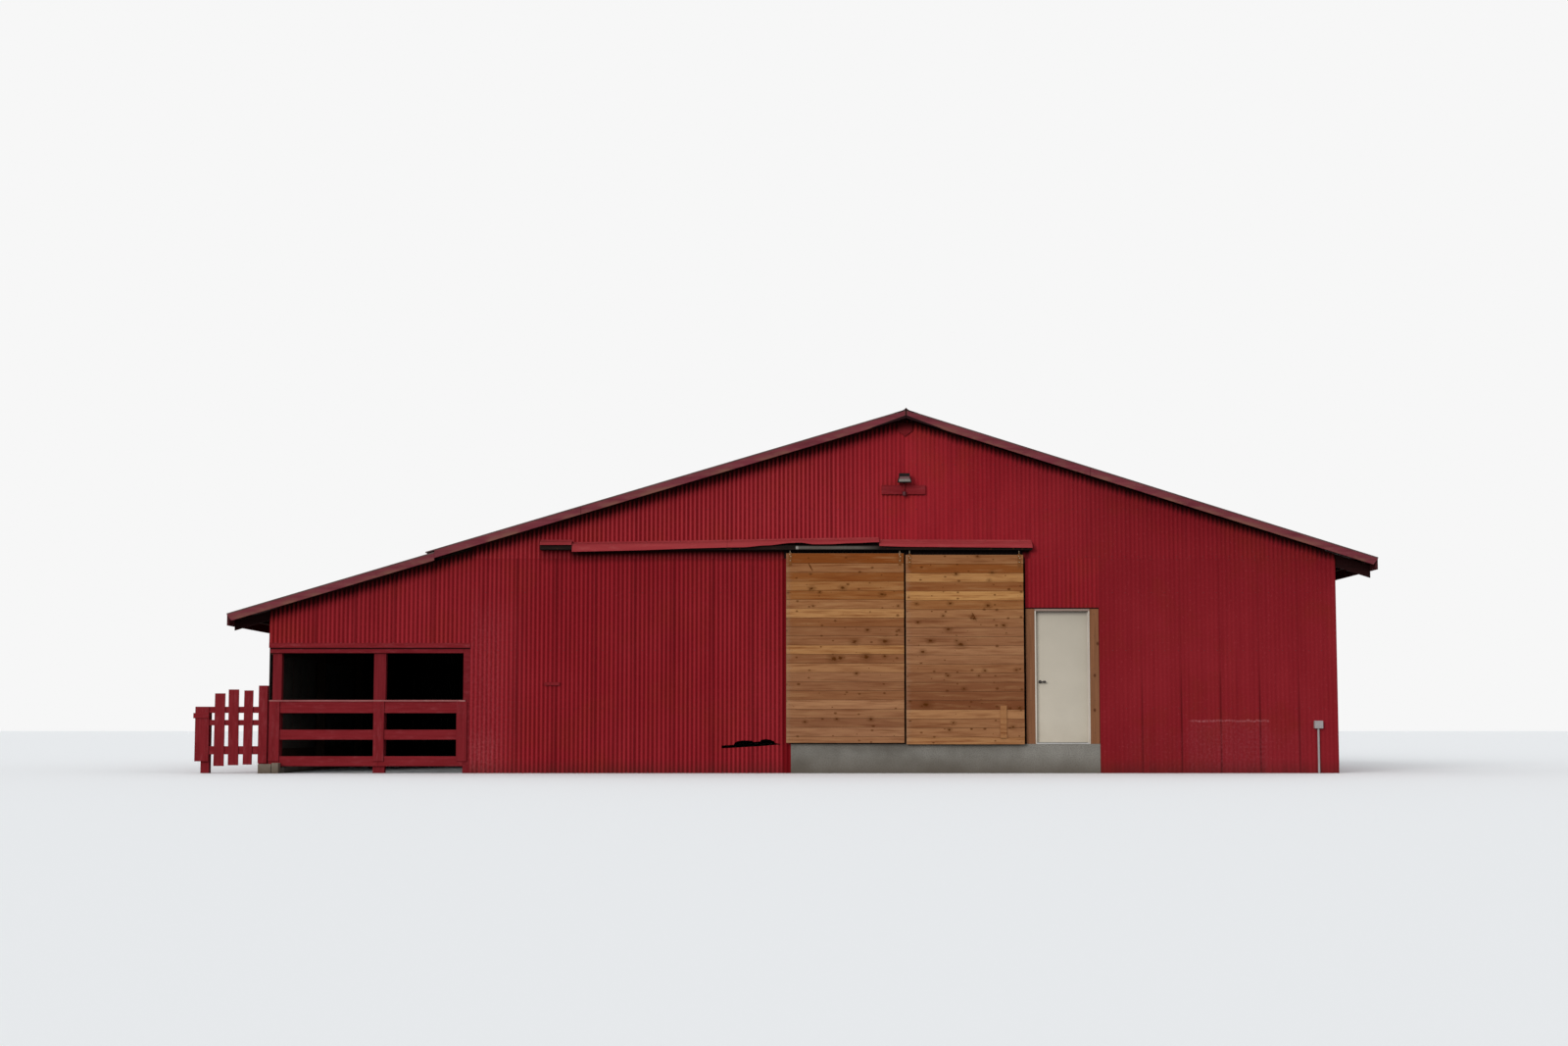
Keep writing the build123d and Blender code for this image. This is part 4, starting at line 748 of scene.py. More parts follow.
def roof_piece(name, cad_node, slope, side, drop):
    """One slope of roof sheets, laid side by side along the ridge."""
    low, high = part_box(cad_node)
    bm = bmesh.new()
    near, far = sorted((abs(low.x - RIDGE_X), abs(high.x - RIDGE_X)))
    lift = Vector((sin(slope) * side, 0, cos(slope)))

    def place(s, h, d):
        x = RIDGE_X + side * h
        base = Vector((x, s, RIDGE_TOP - drop - tan(slope) * h - ROOF_DEEP / cos(slope)))
        return base + lift * (d + STEEL)

    inner = near + (0.012 if near < 0.1 else 0.001)
    on_sheets(bm, (low.y + 0.002, high.y - 0.002), place,
        lambda s: evenly(far - EAVE_GAP, inner, 6), ROOF_RIBS)
    piece = as_steel(bm, name, tuple(-lift), roof_paint, bare_back)
    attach(piece, "root")
    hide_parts(cad_node)
    spots = [place(y, near + FIRST_PURLIN + PURLIN_PITCH * row, ROOF_RIBS + DENT)
        for row in range(int((far - near) / PURLIN_PITCH)) for y in ribs_between(low.y, high.y, 4)]
    screwed(name + "_screws", spots, lift, roof_paint)
    bm = bmesh.new()
    for s0, s1 in ((low.y + 0.0003, low.y + 0.0013), (high.y - 0.0013, high.y - 0.0003)):
        swept(bm, [[place(s, h, d) for s, d in ((s0, 0), (s1, 0), (s1, TURNED), (s0, TURNED))]
            for h in evenly(far - EAVE_GAP, inner, 6)])
    edges = into_scene(bm, name + "_turned_edges", sheet_edge)
    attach(edges, "root")


roof_piece("right_roof_sheets", "right_roof", RIGHT_SLOPE, 1, 0)
roof_piece("left_roof_sheets", "left_roof", LEFT_SLOPE, -1, 0)
roof_piece("lean_roof_sheets", "lean_roof", LEFT_SLOPE, -1, LEAN_DROP)


# The ridge cap: strips of steel bent over the ridge and lapped, pinched up along its crown and
# folded down at both ends. The fold is painted near-black as painted shade.
low, high = ridge_low, ridge_high
wing = (high.x - low.x) / 2
CAP_LIFT = 0.0012
LENGTHS = 5
CAP_LAP = 0.06
bm = bmesh.new()
side = [(x, roof_line(RIDGE_X + x) + CAP_LIFT) for x in (-wing, -0.965 * wing, -0.5 * wing, -0.050)]
crown = [(-0.017, RIDGE_TOP + 0.008), (-0.007, high.z - 0.006), (0, high.z - CAP_LIFT)]
outline = side + crown
outline += [(-x, roof_line(RIDGE_X - x) + CAP_LIFT) if z < RIDGE_TOP else (-x, z)
    for x, z in reversed(outline[:-1])]
for n in range(LENGTHS):
    y0 = low.y + (high.y - low.y) * n / LENGTHS + (0.0015 if n == 0 else 0)
    y1 = low.y + (high.y - low.y) * (n + 1) / LENGTHS + (CAP_LAP if n < LENGTHS - 1 else -0.0015)
    rise = 0.0006 * (n % 2)
    rows = [[bm.verts.new((RIDGE_X + x, y, z + rise)) for x, z in outline] for y in (y0, y1)]
    for a, b, c, d in zip(rows[0], rows[0][1:], rows[1][1:], rows[1]):
        bm.faces.new((a, b, c, d))
cap = as_steel(bm, "bent_ridge_cap", (0, 0, -1), roof_paint)
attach(cap, "root")
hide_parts("ridge_cap")

# The folds are painted near-black as painted shade at the cap's ends.
shade_black_cap_fold = mottled("shade_painted_cap_fold", 30, (0.016, 0.008, 0.009), (0.045, 0.02, 0.022), 0.8,
    0.0, 0.04)
bm = bmesh.new()
for y0, y1 in ((low.y + 0.0002, low.y + 0.0012), (high.y - 0.0012, high.y - 0.0002)):
    rings = []
    for x, z in outline:
        foot = max(low.z + 0.0002, z - 0.020)
        rings.append([(RIDGE_X + x, y, h) for y, h in ((y0, foot), (y1, foot), (y1, z), (y0, z))])
    swept(bm, rings)
folds = into_scene(bm, "ridge_cap_folds", shade_black_cap_fold)
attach(folds, "root")


# Rake boards on the purlin ends and fascia boards on the rafter tails, in a duller maroon than the
# walls; the fascias are painted darker still as painted shade under the eaves. They are planed
# boards butted end to end and nailed, and cut back at the eaves.

def eased(bm, verts, ease):
    """Takes the sharpness off a board's edges."""
    bmesh.ops.bevel(bm, geom=edges_of(verts), offset=ease, segments=1, affect="EDGES")


def trim_paint(name, paint, dark, worn, bare, along=(3, 3, 3), more=None):
    """Old paint on boards: long streaks, worn places, and a little bare wood.

    more gives a share and a colour that goes over these."""
    made, shader, place = finish(name, 0.75, 0.0, 0.05)
    long = cloud(stretched(place, *along), 1.0, 6, 0.6)
    spots = cloud(stretched(place, *(4 + 0.6 * a for a in along)), 1.0, 6, 0.65)
    colour = tinted(part_of(long, 0.3, 0.7), paint, dark)
    colour = tinted(part_of(spots, 0.52, 0.68, 0.0, 0.4), colour, worn)
    colour = tinted(part_of(spots, 0.7, 0.8, 0.0, 0.6), colour, bare)
    if more:
        share, over = more(place)
        colour = tinted(share, colour, over)
    coat(shader, colour)
    bumped(shader, long + spots * 0.6, 0.0012)
    return made


def browner_below(place):
    """The foot of the rakes has lost its colour, but for the painted shade under the peak and the
    dark joint between the two rakes.
    """
    bare = part_of(cloud(stretched(place, 2.5, 9, 9), 1.0, 5), 0.42, 0.62)
    low_down = part_of(under_roof(place), 0.06, 0.12, 0.15, 0.85)
    off = abs(place.x - RIDGE_X)
    # Painted shade under the peak, where the rakes meet.
    reach = part_of(under_roof(place), 0.085, 0.125, 0.0, 0.62)
    painted_shade = part_of(reach - off, -0.03, 0.1)
    joint = part_of(off, 0.01, 0.028, 0.9, 0.0)
    faded = tinted(painted_shade.higher(joint), (0.2, 0.085, 0.062), (0.016, 0.005, 0.006))
    return painted_shade.higher(joint).higher(bare * low_down), faded


maroon = trim_paint("maroon_board_paint", (0.195, 0.04, 0.052), (0.12, 0.022, 0.03),
    (0.2, 0.08, 0.075), (0.17, 0.115, 0.1), (1.0, 30, 20), browner_below)
# The fascias are a darker maroon as painted shade under the eaves.
shade_dark_fascia_paint = trim_paint("shade_dark_maroon_fascia_paint", (0.075, 0.016, 0.018), (0.04, 0.008, 0.009),
    (0.08, 0.036, 0.034), (0.12, 0.075, 0.065), (30, 1.0, 20))
nail_steel = mottled("rusted_nail_heads", 30, (0.09, 0.035, 0.02), (0.045, 0.03, 0.028), 0.8, 0.3)

RAKE_TOP = 0.020
RAKE_DEEP = 0.110
END_CUT = 0.075
LUMBER = 0.038
BOARD = 0.019
RAKE_NAIL_ROWS = (RAKE_TOP + 0.03, RAKE_TOP + 0.085)
RAKE_NAIL_PITCH = 0.65
rake_low, rake_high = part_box("rake_boards")
lean_top_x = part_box("lean_roof")[1].x
RAKE_RUNS = ((RIDGE_X + 0.001, 4.72, 0), (4.724, rake_high.x, 0), (RIDGE_X - 5.04, RIDGE_X, 0),
    (lean_top_x, RIDGE_X - 5.044, 0), (rake_low.x, lean_top_x - 0.001, LEAN_DROP))
bm = bmesh.new()
nail_spots = {-1: [], 1: []}
for y0 in (rake_low.y, rake_high.y - LUMBER):
    for x0, x1, drop in RAKE_RUNS:
        middle = (x0 + x1) / 2
        verts = block(bm, (x0, y0, 0), (x1, y0 + LUMBER, 1))
        bmesh.ops.subdivide_edges(bm, edges=[e for e in edges_of(verts)
            if abs(e.verts[0].co.x - e.verts[1].co.x) > 0.1], cuts=6)
        run = [v for v in bm.verts if x0 - 1e-5 <= v.co.x <= x1 + 1e-5
            and y0 - 1e-5 <= v.co.y <= y0 + LUMBER + 1e-5 and v.co.z in (0, 1)]
        on_right = middle > RIDGE_X
        slope = RIGHT_SLOPE if on_right else LEFT_SLOPE
        at_eave = x1 == rake_high.x or x0 == rake_low.x
        for v in run:
            if at_eave and v.co.z < 0.5 and abs(v.co.x - (x1 if on_right else x0)) < 1e-5:
                v.co.x -= END_CUT if on_right else -END_CUT
            line = RIDGE_TOP - drop - tan(slope) * abs(v.co.x - RIDGE_X)
            sag = 0.002 * noise.noise(Vector((v.co.x * 0.8, y0, 2)))
            if v.co.z > 0.5:
                v.co.z = line - RAKE_TOP / cos(slope) - abs(sag)
            else:
                v.co.z = line - (RAKE_TOP + RAKE_DEEP) / cos(slope) + abs(sag)
        out = -1 if y0 < 0 else 1
        face = y0 if out < 0 else y0 + LUMBER
        x = x0 + 0.05
        while x < x1:
            for below in RAKE_NAIL_ROWS:
                nail_spots[out].append((x, face, roof_line(x, below, drop)))
            x += RAKE_NAIL_PITCH
bmesh.ops.bevel(bm, geom=[e for e in bm.edges if e.calc_face_angle(0) > 1], offset=0.003,
    segments=1, affect="EDGES")
rakes = into_scene(bm, "rake_board_runs", maroon)
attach(rakes, "root")
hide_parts("rake_boards")
bm = bmesh.new()
for out, spots in nail_spots.items():
    screw_heads(bm, [(x, y - out * 0.0032, z) for x, y, z in spots], (0, out, 0), 0.006)
rake_nails = into_scene(bm, "rake_nails", nail_steel)
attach(rake_nails, "root")
wear_finish("eave_fascias", shade_dark_fascia_paint)


# Boards on the front: the pointed plate under the peak, its top darkened as painted shade, the
# board that carries the light and a small bar, painted with the wall, and the bare ledger behind
# the rail, painted near-black as painted shade under the cover.

def shaded_by_the_roof(place):
    """Painted shade on the plate under the peak."""
    return part_of(under_roof(place), 0.14, 0.3, 0.9, 0.0), (0.02, 0.003, 0.003)


board_red = trim_paint("red_board_paint", (0.215, 0.0165, 0.0215), (0.16, 0.01, 0.013),
    (0.265, 0.045, 0.052), (0.25, 0.14, 0.11), (1.5, 26, 26), shaded_by_the_roof)
board_red_upright = trim_paint("red_upright_paint", (0.21, 0.0165, 0.0215), (0.15, 0.01, 0.013),
    (0.265, 0.045, 0.052), (0.25, 0.14, 0.11), (26, 26, 1.5))
bm = bmesh.new()
PLATE_HALF = 0.114
PLATE_UNDER_ROOF = 0.13
PLATE_SIDE = RIDGE_TOP - 0.300
PLATE_POINT = RIDGE_TOP - 0.389
half = PLATE_HALF
head_left, head_right = [roof_line(RIDGE_X + x, PLATE_UNDER_ROOF) for x in (-half, half)]
point = [(-half, head_left), (half, head_right), (half, PLATE_SIDE), (0, PLATE_POINT),
    (-half, PLATE_SIDE)]
rings = [[bm.verts.new((RIDGE_X + x, FRONT - out, z)) for x, z in point] for out in (BOARD, 0)]
bm.faces.new(rings[0])
bm.faces.new(list(reversed(rings[1])))
for k in range(5):
    bm.faces.new((rings[0][k], rings[0][k - 4], rings[1][k - 4], rings[1][k]))
bmesh.ops.bevel(bm, geom=list(bm.edges), offset=0.003, segments=1, affect="EDGES")
track_low, track_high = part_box("door_track")
light_low = RIDGE_TOP - 1.302
for x0, x1, deep, z0, tall in ((RIDGE_X - 0.372, RIDGE_X + 0.312, LUMBER, light_low, 0.145),
        (track_low.x + 0.08, track_low.x + 0.315, 0.02, 1.35, 0.05)):
    eased(bm, block(bm, (x0, FRONT - deep, z0), (x1, FRONT, z0 + tall)), 0.003)
plates = into_scene(bm, "front_wall_boards", board_red)
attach(plates, "root")
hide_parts("wall_boards")

# The ledger is near-black as painted shade under the cover.
shade_dark_ledger_wood = sawn_timber("shade_dark_ledger_wood", (1.3, 34, 34), (0.022, 0.011, 0.008),
    (0.01, 0.005, 0.004), (0.016, 0.009, 0.007))
LEDGER_TALL = 0.089
ledger_low = track_high.z + 0.020 - LEDGER_TALL
bm = bmesh.new()
for x0, x1 in ((track_low.x, RIDGE_X - 2.0), (RIDGE_X - 1.998, track_high.x)):
    ledger_end = (x1, FRONT, ledger_low + LEDGER_TALL)
    eased(bm, block(bm, (x0, FRONT - LUMBER, ledger_low), ledger_end), 0.003)
ledger = into_scene(bm, "rail_ledger", shade_dark_ledger_wood)
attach(ledger, "root")


# The lean-to's open bay: a header and a jamb board under a flat strip of steel, and a fence of
# three rails with a flat cap whose front edge is painted pale as a painted highlight, and battens
# over the posts. Beside it the fence wing has upright boards on rails.

def plank(bm, x, y, z, lean=0.0):
    """Adds one board between two corners, a little out of true, with eased edges."""
    verts = block(bm, (x[0], y[0], z[0]), (x[1], y[1], z[1]))
    for v in verts:
        if x[1] - x[0] > z[1] - z[0]:
            v.co.z += lean * (1 if v.co.x > (x[0] + x[1]) / 2 else -1)
        else:
            v.co.x += lean * (1 if v.co.z > (z[0] + z[1]) / 2 else -1)
    eased(bm, verts, 0.0025)


def fixed_boards(bm, name, paint, cad_nodes, nails, body="root",
        nail_finish=screw_paint):
    """Finishes a group of nailed boards, the nails painted over unless told otherwise."""
    piece = into_scene(bm, name, paint)
    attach(piece, body)
    if cad_nodes:
        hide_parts(*cad_nodes)
    if nails:
        screwed(name + "_nails", nails, (0, -1, 0), nail_finish, body, 0.0055)


low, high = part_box("bay_surround")
sheets_low, sheets_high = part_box("lean_front_siding")
jamb_x = high.x - 0.140
header_low = sheets_low.z - 0.083
NAIL_RISE = 0.0005


def under_the_sheets(place):
    """The line of shade and dirt along the top of the header."""
    share = part_of(place.z, sheets_low.z - 0.028, sheets_low.z - 0.018, 0.0, 0.95)
    return share, (0.022, 0.002, 0.003)


header_red = trim_paint("red_header_paint", (0.18, 0.0135, 0.018), (0.13, 0.008, 0.011),
    (0.24, 0.04, 0.046), (0.25, 0.14, 0.11), (3, 26, 26), under_the_sheets)
bm = bmesh.new()
block(bm, (sheets_low.x + 0.001, sheets_low.y + 0.0004, sheets_low.z + 0.0005),
    (sheets_high.x - 0.001, sheets_low.y + 0.0018, sheets_low.z + 0.072))
foot_strip = into_scene(bm, "lean_foot_strip", board_red)
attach(foot_strip, "root")
bm = bmesh.new()
plank(bm, (low.x, jamb_x - 0.0006), (low.y, high.y), (header_low, high.z))
plank(bm, (jamb_x, high.x), (low.y, high.y), (0, high.z))
fixed_boards(bm, "bay_header_and_jamb", header_red, ["bay_surround"],
    [(jamb_x + 0.04, low.y + NAIL_RISE, z) for z in (0.4, 0.9, 1.4, 1.75)])

low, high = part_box("bay_fence")
RAIL_FACE = low.y + BOARD
BATTEN = 0.164
POST_ALONG = 0.569
post_x = WALL_LEFT + POST_ALONG * (jamb_x - WALL_LEFT)
cap_low = high.z - 0.025
bm = bmesh.new()
nails = []
for z0, z1, lean in ((0.107, 0.260, 0.0), (0.515, 0.668, 0.001), (0.925, cap_low, 0.0)):
    for x0, x1 in ((low.x, post_x - 0.001), (post_x + 0.001, jamb_x - 0.0003)):
        plank(bm, (x0, x1), (RAIL_FACE, high.y), (z0, z1), lean if x0 > low.x else -lean)
plank(bm, (low.x, jamb_x - 0.0003), (RAIL_FACE, high.y), (cap_low, high.z))
rails = into_scene(bm, "bay_fence_rails", board_red)
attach(rails, "root")
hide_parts("bay_fence")
# The cap's front edge is painted pale as a painted highlight.
cap_highlight_paint = trim_paint("highlight_cap_paint", (0.34, 0.12, 0.115), (0.24, 0.06, 0.062),
    (0.42, 0.24, 0.21), (0.4, 0.27, 0.23), (1.5, 26, 26))
bm = bmesh.new()
plank(bm, (low.x, jamb_x + 0.036), (low.y, RAIL_FACE), (cap_low, high.z))
fixed_boards(bm, "bay_fence_cap_edge", cap_highlight_paint, [], [])
bm = bmesh.new()
for x in (low.x + BATTEN / 2, post_x, jamb_x - BATTEN / 10):
    plank(bm, (x - BATTEN / 2, x + BATTEN / 2), (low.y, RAIL_FACE), (0.182, cap_low))
    for z in (0.21, 0.58, 0.62, 0.98, 1.04):
        nails += [(x - 0.045, low.y + NAIL_RISE, z), (x + 0.045, low.y + NAIL_RISE, z)]
fixed_boards(bm, "bay_fence_battens", board_red_upright, [], nails)

low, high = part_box("fence_wing")
WING_END = low.x + 0.025
wall_x = high.x
face = RAIL_FACE - BOARD
bm = bmesh.new()
plank(bm, (WING_END + 0.084, WING_END + 0.214), (RAIL_FACE + LUMBER, high.y), (0, 1.020))
plank(bm, (wall_x - 0.140, wall_x), (RAIL_FACE + LUMBER, high.y), (0, 1.350))
nails = []
for offset, width, z0, z1, lean in ((0.0, 0.214, 0.182, 1.024, 0.0),
        (0.297, 0.16, 0.11, 1.23, 0.003), (0.514, 0.16, 0.122, 1.29, -0.004),
        (0.749, 0.14, 0.132, 1.275, 0.003), (0.976, 0.138, 0.152, 1.35, 0.0)):
    x0 = WING_END + offset
    plank(bm, (x0, x0 + width), (face, RAIL_FACE), (z0, z1), lean)
    for z in (0.32, 0.38, 0.96, 1.0):
        nails += [(x0 + 0.035, face + NAIL_RISE, z), (x0 + width - 0.035, face + NAIL_RISE, z)]
fixed_boards(bm, "wing_boards", board_red_upright, ["fence_wing"], nails)
bm = bmesh.new()
for z0, tall in ((0.289, 0.127), (0.735, 0.085), (0.927, 0.097)):
    plank(bm, (WING_END + 0.084, wall_x), (RAIL_FACE, RAIL_FACE + LUMBER), (z0, z0 + tall))
plank(bm, (low.x, low.x + 0.240), (low.y, face), (0.845, 0.927))
fixed_boards(bm, "wing_rails", board_red, [], [])


# The box rail and its saddles: galvanised strip folded to a box that is open along its base.
# The zinc is black-brown, from rust and from painted shade under the cover, its lips painted black
# as painted shadow, and only the length left of the middle is still grey.

zinc, shader, place = finish("dull_zinc", 0.75, 0.0, 0.05)
stain = cloud(stretched(place, 3, 25, 25), 1.0, 5)
# Black-brown for rust and for painted shade under the cover.
dull = tinted(part_of(stain, 0.35, 0.65), (0.01, 0.006, 0.005), (0.03, 0.015, 0.011))
dull = tinted(part_of(cloud(place, 12, 3), 0.62, 0.72, 0.0, 0.7), dull, (0.16, 0.055, 0.02))
x = place.x
grey_start = part_of(x, RIDGE_X - 1.72, RIDGE_X - 1.71)
fresh = grey_start * part_of(x, RIDGE_X - 0.75, RIDGE_X - 0.4, 1.0, 0.0)
dull = tinted(fresh * part_of(stain, 0.3, 0.7, 1.0, 0.65), dull, (0.135, 0.118, 0.1))
cut_end = part_of(x, RIDGE_X - 1.715, RIDGE_X - 1.71)
cut_end = cut_end * part_of(x, RIDGE_X - 1.68, RIDGE_X - 1.67, 1.0, 0.0)
dull = tinted(cut_end, dull, (0.32, 0.29, 0.26))
up = place.z
# The rail's lips are painted black as painted shadow.
foot_lip_shadow = part_of(up, track_low.z + 0.006, track_low.z + 0.018, 0.85, 0.0)
head_lip_shadow = part_of(up, track_high.z - 0.018, track_high.z - 0.01, 0.0, 0.9)
dull = tinted(foot_lip_shadow.higher(head_lip_shadow), dull, (0.01, 0.006, 0.005))
coat(shader, dull)
bumped(shader, stain, 0.001)
wear_finish("door_track", zinc)
wear_finish("track_brackets", zinc)


# The track covers: lengths of red sheet bent over the rail and nailed to the wall by a flange, with
# a hemmed foot. They are painted paler than the wall, partly as faded paint and partly as a painted
# sheen of the sky on their upturned faces. The third one has warped, and its foot lifts over the
# middle of the doorway.

# Paler than the wall: partly faded paint, partly a painted sheen of the sky.
cover_paint = trim_paint("cover_red_paint", (0.33, 0.042, 0.045), (0.255, 0.025, 0.03),
    (0.345, 0.07, 0.07), (0.23, 0.075, 0.065), (0.8, 20, 20))
COVER_FLANGE = 0.020
COVER_BEND = 0.118
COVER_REACH = 0.160
# Distance from the rail's left end, and heights of top, bend and foot over the rail's top.
COVER_RUNS = (
    ((0.0, 0.096, 0.046, 0.001), (0.496, 0.095, 0.046, 0.002)),
    ((0.5, 0.058, 0.022, -0.106), (1.614, 0.075, 0.026, -0.08), (2.374, 0.087, 0.03, -0.052),
        (2.908, 0.096, 0.036, -0.038)),
    ((2.912, 0.097, 0.036, -0.037), (3.139, 0.101, 0.04, -0.035), (3.519, 0.109, 0.05, -0.005),
        (3.915, 0.117, 0.07, 0.034), (4.036, 0.119, 0.073, 0.04), (4.265, 0.123, 0.062, 0.013),
        (4.478, 0.126, 0.062, 0.014), (4.858, 0.131, 0.076, 0.031), (5.27, 0.137, 0.088, 0.047)),
    ((5.274, 0.104, 0.034, -0.012), (5.665, 0.102, 0.03, -0.026), (7.656, 0.097, 0.024, -0.04)))


def between_places(run, at):
    """The heights of a cover at a place along it, eased from one measured place to the next."""
    for (s0, *first), (s1, *second) in zip(run, run[1:]):
        if at <= s1 + 1e-9:
            k = (at - s0) / (s1 - s0)
            k = k * k * (3 - 2 * k) if len(run) > 4 else k
            return [a + (b - a) * k for a, b in zip(first, second)]
    return run[-1][1:]


bm = bmesh.new()
nails = []
for run in COVER_RUNS:
    start, end = run[0][0], run[-1][0]
    steps = max(4, round((end - start) / 0.06))
    rows = []
    for k in range(steps + 1):
        s = start + (end - start) * k / steps
        top, bend, foot = between_places(run, s)
        ripple = 0.0035 * noise.noise(Vector((s * 3.1, start, 5)))
        crease = top - COVER_FLANGE
        points = [(0.002, top - 0.0005), (0.002, crease), (0.05, (crease * 2 + bend) / 3 + ripple),
            (COVER_BEND - 0.006, bend - 0.001), (COVER_BEND, bend - 0.006),
            (0.142, (bend + foot) / 2 - 0.003 + ripple), (COVER_REACH - 0.0035, foot + 0.005),
            (COVER_REACH - 0.0012, foot + 0.003), (COVER_REACH - 0.0022, foot + 0.0012),
            (COVER_REACH - 0.0045, foot + 0.0018), (COVER_REACH - 0.006, foot + 0.012)]
        rows.append([bm.verts.new((track_low.x + s, FRONT - out, track_high.z + z))
            for out, z in points])
    for first, second in zip(rows, rows[1:]):
        for a, b, c, d in zip(first, first[1:], second[1:], second):
            bm.faces.new((a, b, c, d))
    for k in range(1, steps, 9):
        s = start + (end - start) * k / steps
        top = between_places(run, s)[0]
        nails.append((track_low.x + s, FRONT - 0.0022, track_high.z + top - 0.01))
covers = as_steel(bm, "bent_track_covers", (0, 0.6, -0.8), cover_paint)
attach(covers, "root")
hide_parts("track_covers")
bm = bmesh.new()
screw_heads(bm, nails, (0, -1, 0), 0.006)
cover_nails = into_scene(bm, "track_cover_nails", nail_steel)
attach(cover_nails, "root")


# The two sliding leaves: twenty-one cedar boards a leaf, laid level and screwed to a ledged
# frame. The wood is new and bare, each board its own tone, with dark knots along the grain.

def cedar(name, knots, crack, left_edge):
    """Bare cedar whose grain runs level and bends round its knots, greyer at its left edge.

    crack is the middle of a short split that leans to the right as it goes down."""
    made, shader, place = finish(name, 0.72, 0.0, 0.04)
    tone = marked(place, "tone")
    warm = marked(place, "warm")
    x, z = place.x, place.z
    flat = node("CombineXYZ", {0: x, 1: z, 2: 0.0})
    rough_edge = cloud(stretched(place, 30, 1, 60), 1.0, 3)
    dark = 0.0
    for across, up, size in knots:
        far = away_from(place, across, up, size / 0.7, size)
        far = far + part_of(rough_edge, 0.3, 0.7, -0.35, 0.35)
        here = part_of(far, 0.5, 1.1, 1.0, 0.0).higher(part_of(far, 0.8, 2.8, 0.45, 0.0))
        dark = here.higher(dark)
    far = away_from(place, *crack, 0.011, 0.062, radians(28))
    far = far + part_of(rough_edge, 0.3, 0.7, -0.35, 0.35)
    dark = dark.higher(part_of(far, 0.6, 1.4, 1.0, 0.0))
    cell, chosen = [node("TexVoronoi", {"Vector": stretched(flat, 5.2, 7.4, 0), "Scale": 1.0}, out,
        voronoi_dimensions="2D") for out in (0, 1)]
    near = cell / part_of(node("SeparateColor", {0: chosen}), 0.45, 1.0, 0.0004, 1.0)
    dark = dark.higher(part_of(near, 0.07, 0.2, 0.75, 0.0))
    bent = node("CombineXYZ", {0: x + tone * 37.0, 1: 0.0, 2: z + dark * 0.03})
    grain = cloud(stretched(bent, 2.2, 1, 95), 1.0, 6, 0.6)
    band = cloud(stretched(bent, 1.3, 1, 22), 1.0, 4, 0.55)
    plain = tinted(tone, (0.2, 0.054, 0.01), (0.47, 0.232, 0.08))
    greyer = tinted(tone, (0.17, 0.06, 0.026), (0.385, 0.188, 0.098))
    wood = tinted(warm, plain, greyer)
    streak = tinted(warm, (0.18, 0.044, 0.008), (0.15, 0.052, 0.022))
    drift = cloud(stretched(bent, 1.7, 1, 17), 1.0, 5, 0.6)
    wood = tinted(part_of(drift, 0.52, 0.7, 0.0, 0.4), wood, streak)
    wood = tinted(part_of(drift, 0.3, 0.48, 0.22, 0.0), wood, (0.5, 0.285, 0.125))
    wood = tinted(part_of(band, 0.5, 0.7, 0.0, 0.75), wood, streak)
    wood = tinted(part_of(grain, 0.52, 0.74, 0.0, 0.5), wood, (0.1, 0.037, 0.014))
    wood = tinted(part_of(band, 0.22, 0.4, 0.35, 0.0), wood, (0.44, 0.26, 0.12))
    wood = tinted(dark * 0.95, wood, (0.078, 0.02, 0.001))
    aged = x - left_edge + part_of(band, 0.3, 0.7, -0.04, 0.04)
    wood = tinted(part_of(aged, 0.02, 0.08, 0.25, 0.0), wood, (0.3, 0.185, 0.12))
    coat(shader, wood)
    bumped(shader, grain + dark, 0.0015, 0.6)
    return made


brown_nails = mottled("browned_nail_heads", 30, (0.24, 0.11, 0.045), (0.17, 0.07, 0.03), 0.7, 0.0,
    0.2)

# Tone of each board from the top, 0 dark to 9 light, and how pink-grey it is.
LEAF_TONES = {"left_leaf": ("041425823372643375265", "040104246626577677887"),
    "right_leaf": ("317293544465431107456", "401202567777677775664")}
# Distance from the ridge, height and half the height of each knot.
LEAF_KNOTS = {
    "left_leaf": ((-1.465, 2.851, 0.024), (-0.985, 2.861, 0.026), (-1.345, 2.796, 0.016),
        (-1.835, 2.786, 0.014), (-0.375, 2.761, 0.024), (-1.445, 2.581, 0.014),
        (-0.125, 2.581, 0.014), (-0.605, 2.206, 0.02), (-0.115, 2.206, 0.016),
        (-0.805, 2.031, 0.03), (-0.33, 2.031, 0.032), (-1.125, 1.762, 0.036),
        (-1.025, 1.776, 0.026), (-0.625, 1.792, 0.034), (-0.335, 1.802, 0.018),
        (-0.775, 1.536, 0.018), (-1.575, 0.791, 0.018), (-1.085, 0.832, 0.016),
        (-0.555, 0.827, 0.022)),
    "right_leaf": ((1.11, 3.355, 0.018), (1.34, 3.105, 0.02), (0.78, 3.08, 0.02),
        (1.29, 2.98, 0.016), (0.16, 2.615, 0.016), (0.68, 2.62, 0.02), (1.27, 2.585, 0.024),
        (1.025, 2.425, 0.02), (1.05, 2.385, 0.018), (0.57, 2.43, 0.016), (0.18, 2.33, 0.018),
        (1.51, 2.28, 0.022), (0.65, 2.22, 0.024), (0.37, 2.04, 0.026), (0.78, 2.04, 0.016),
        (0.84, 1.985, 0.032), (0.25, 1.87, 0.024), (1.21, 1.58, 0.018), (1.7, 1.59, 0.018),
        (0.64, 1.5, 0.016), (1.12, 1.5, 0.014), (0.89, 1.3, 0.018), (0.3, 1.055, 0.036),
        (1.75, 1.0, 0.02), (0.72, 0.775, 0.018), (0.66, 0.665, 0.018), (1.64, 0.71, 0.02))}
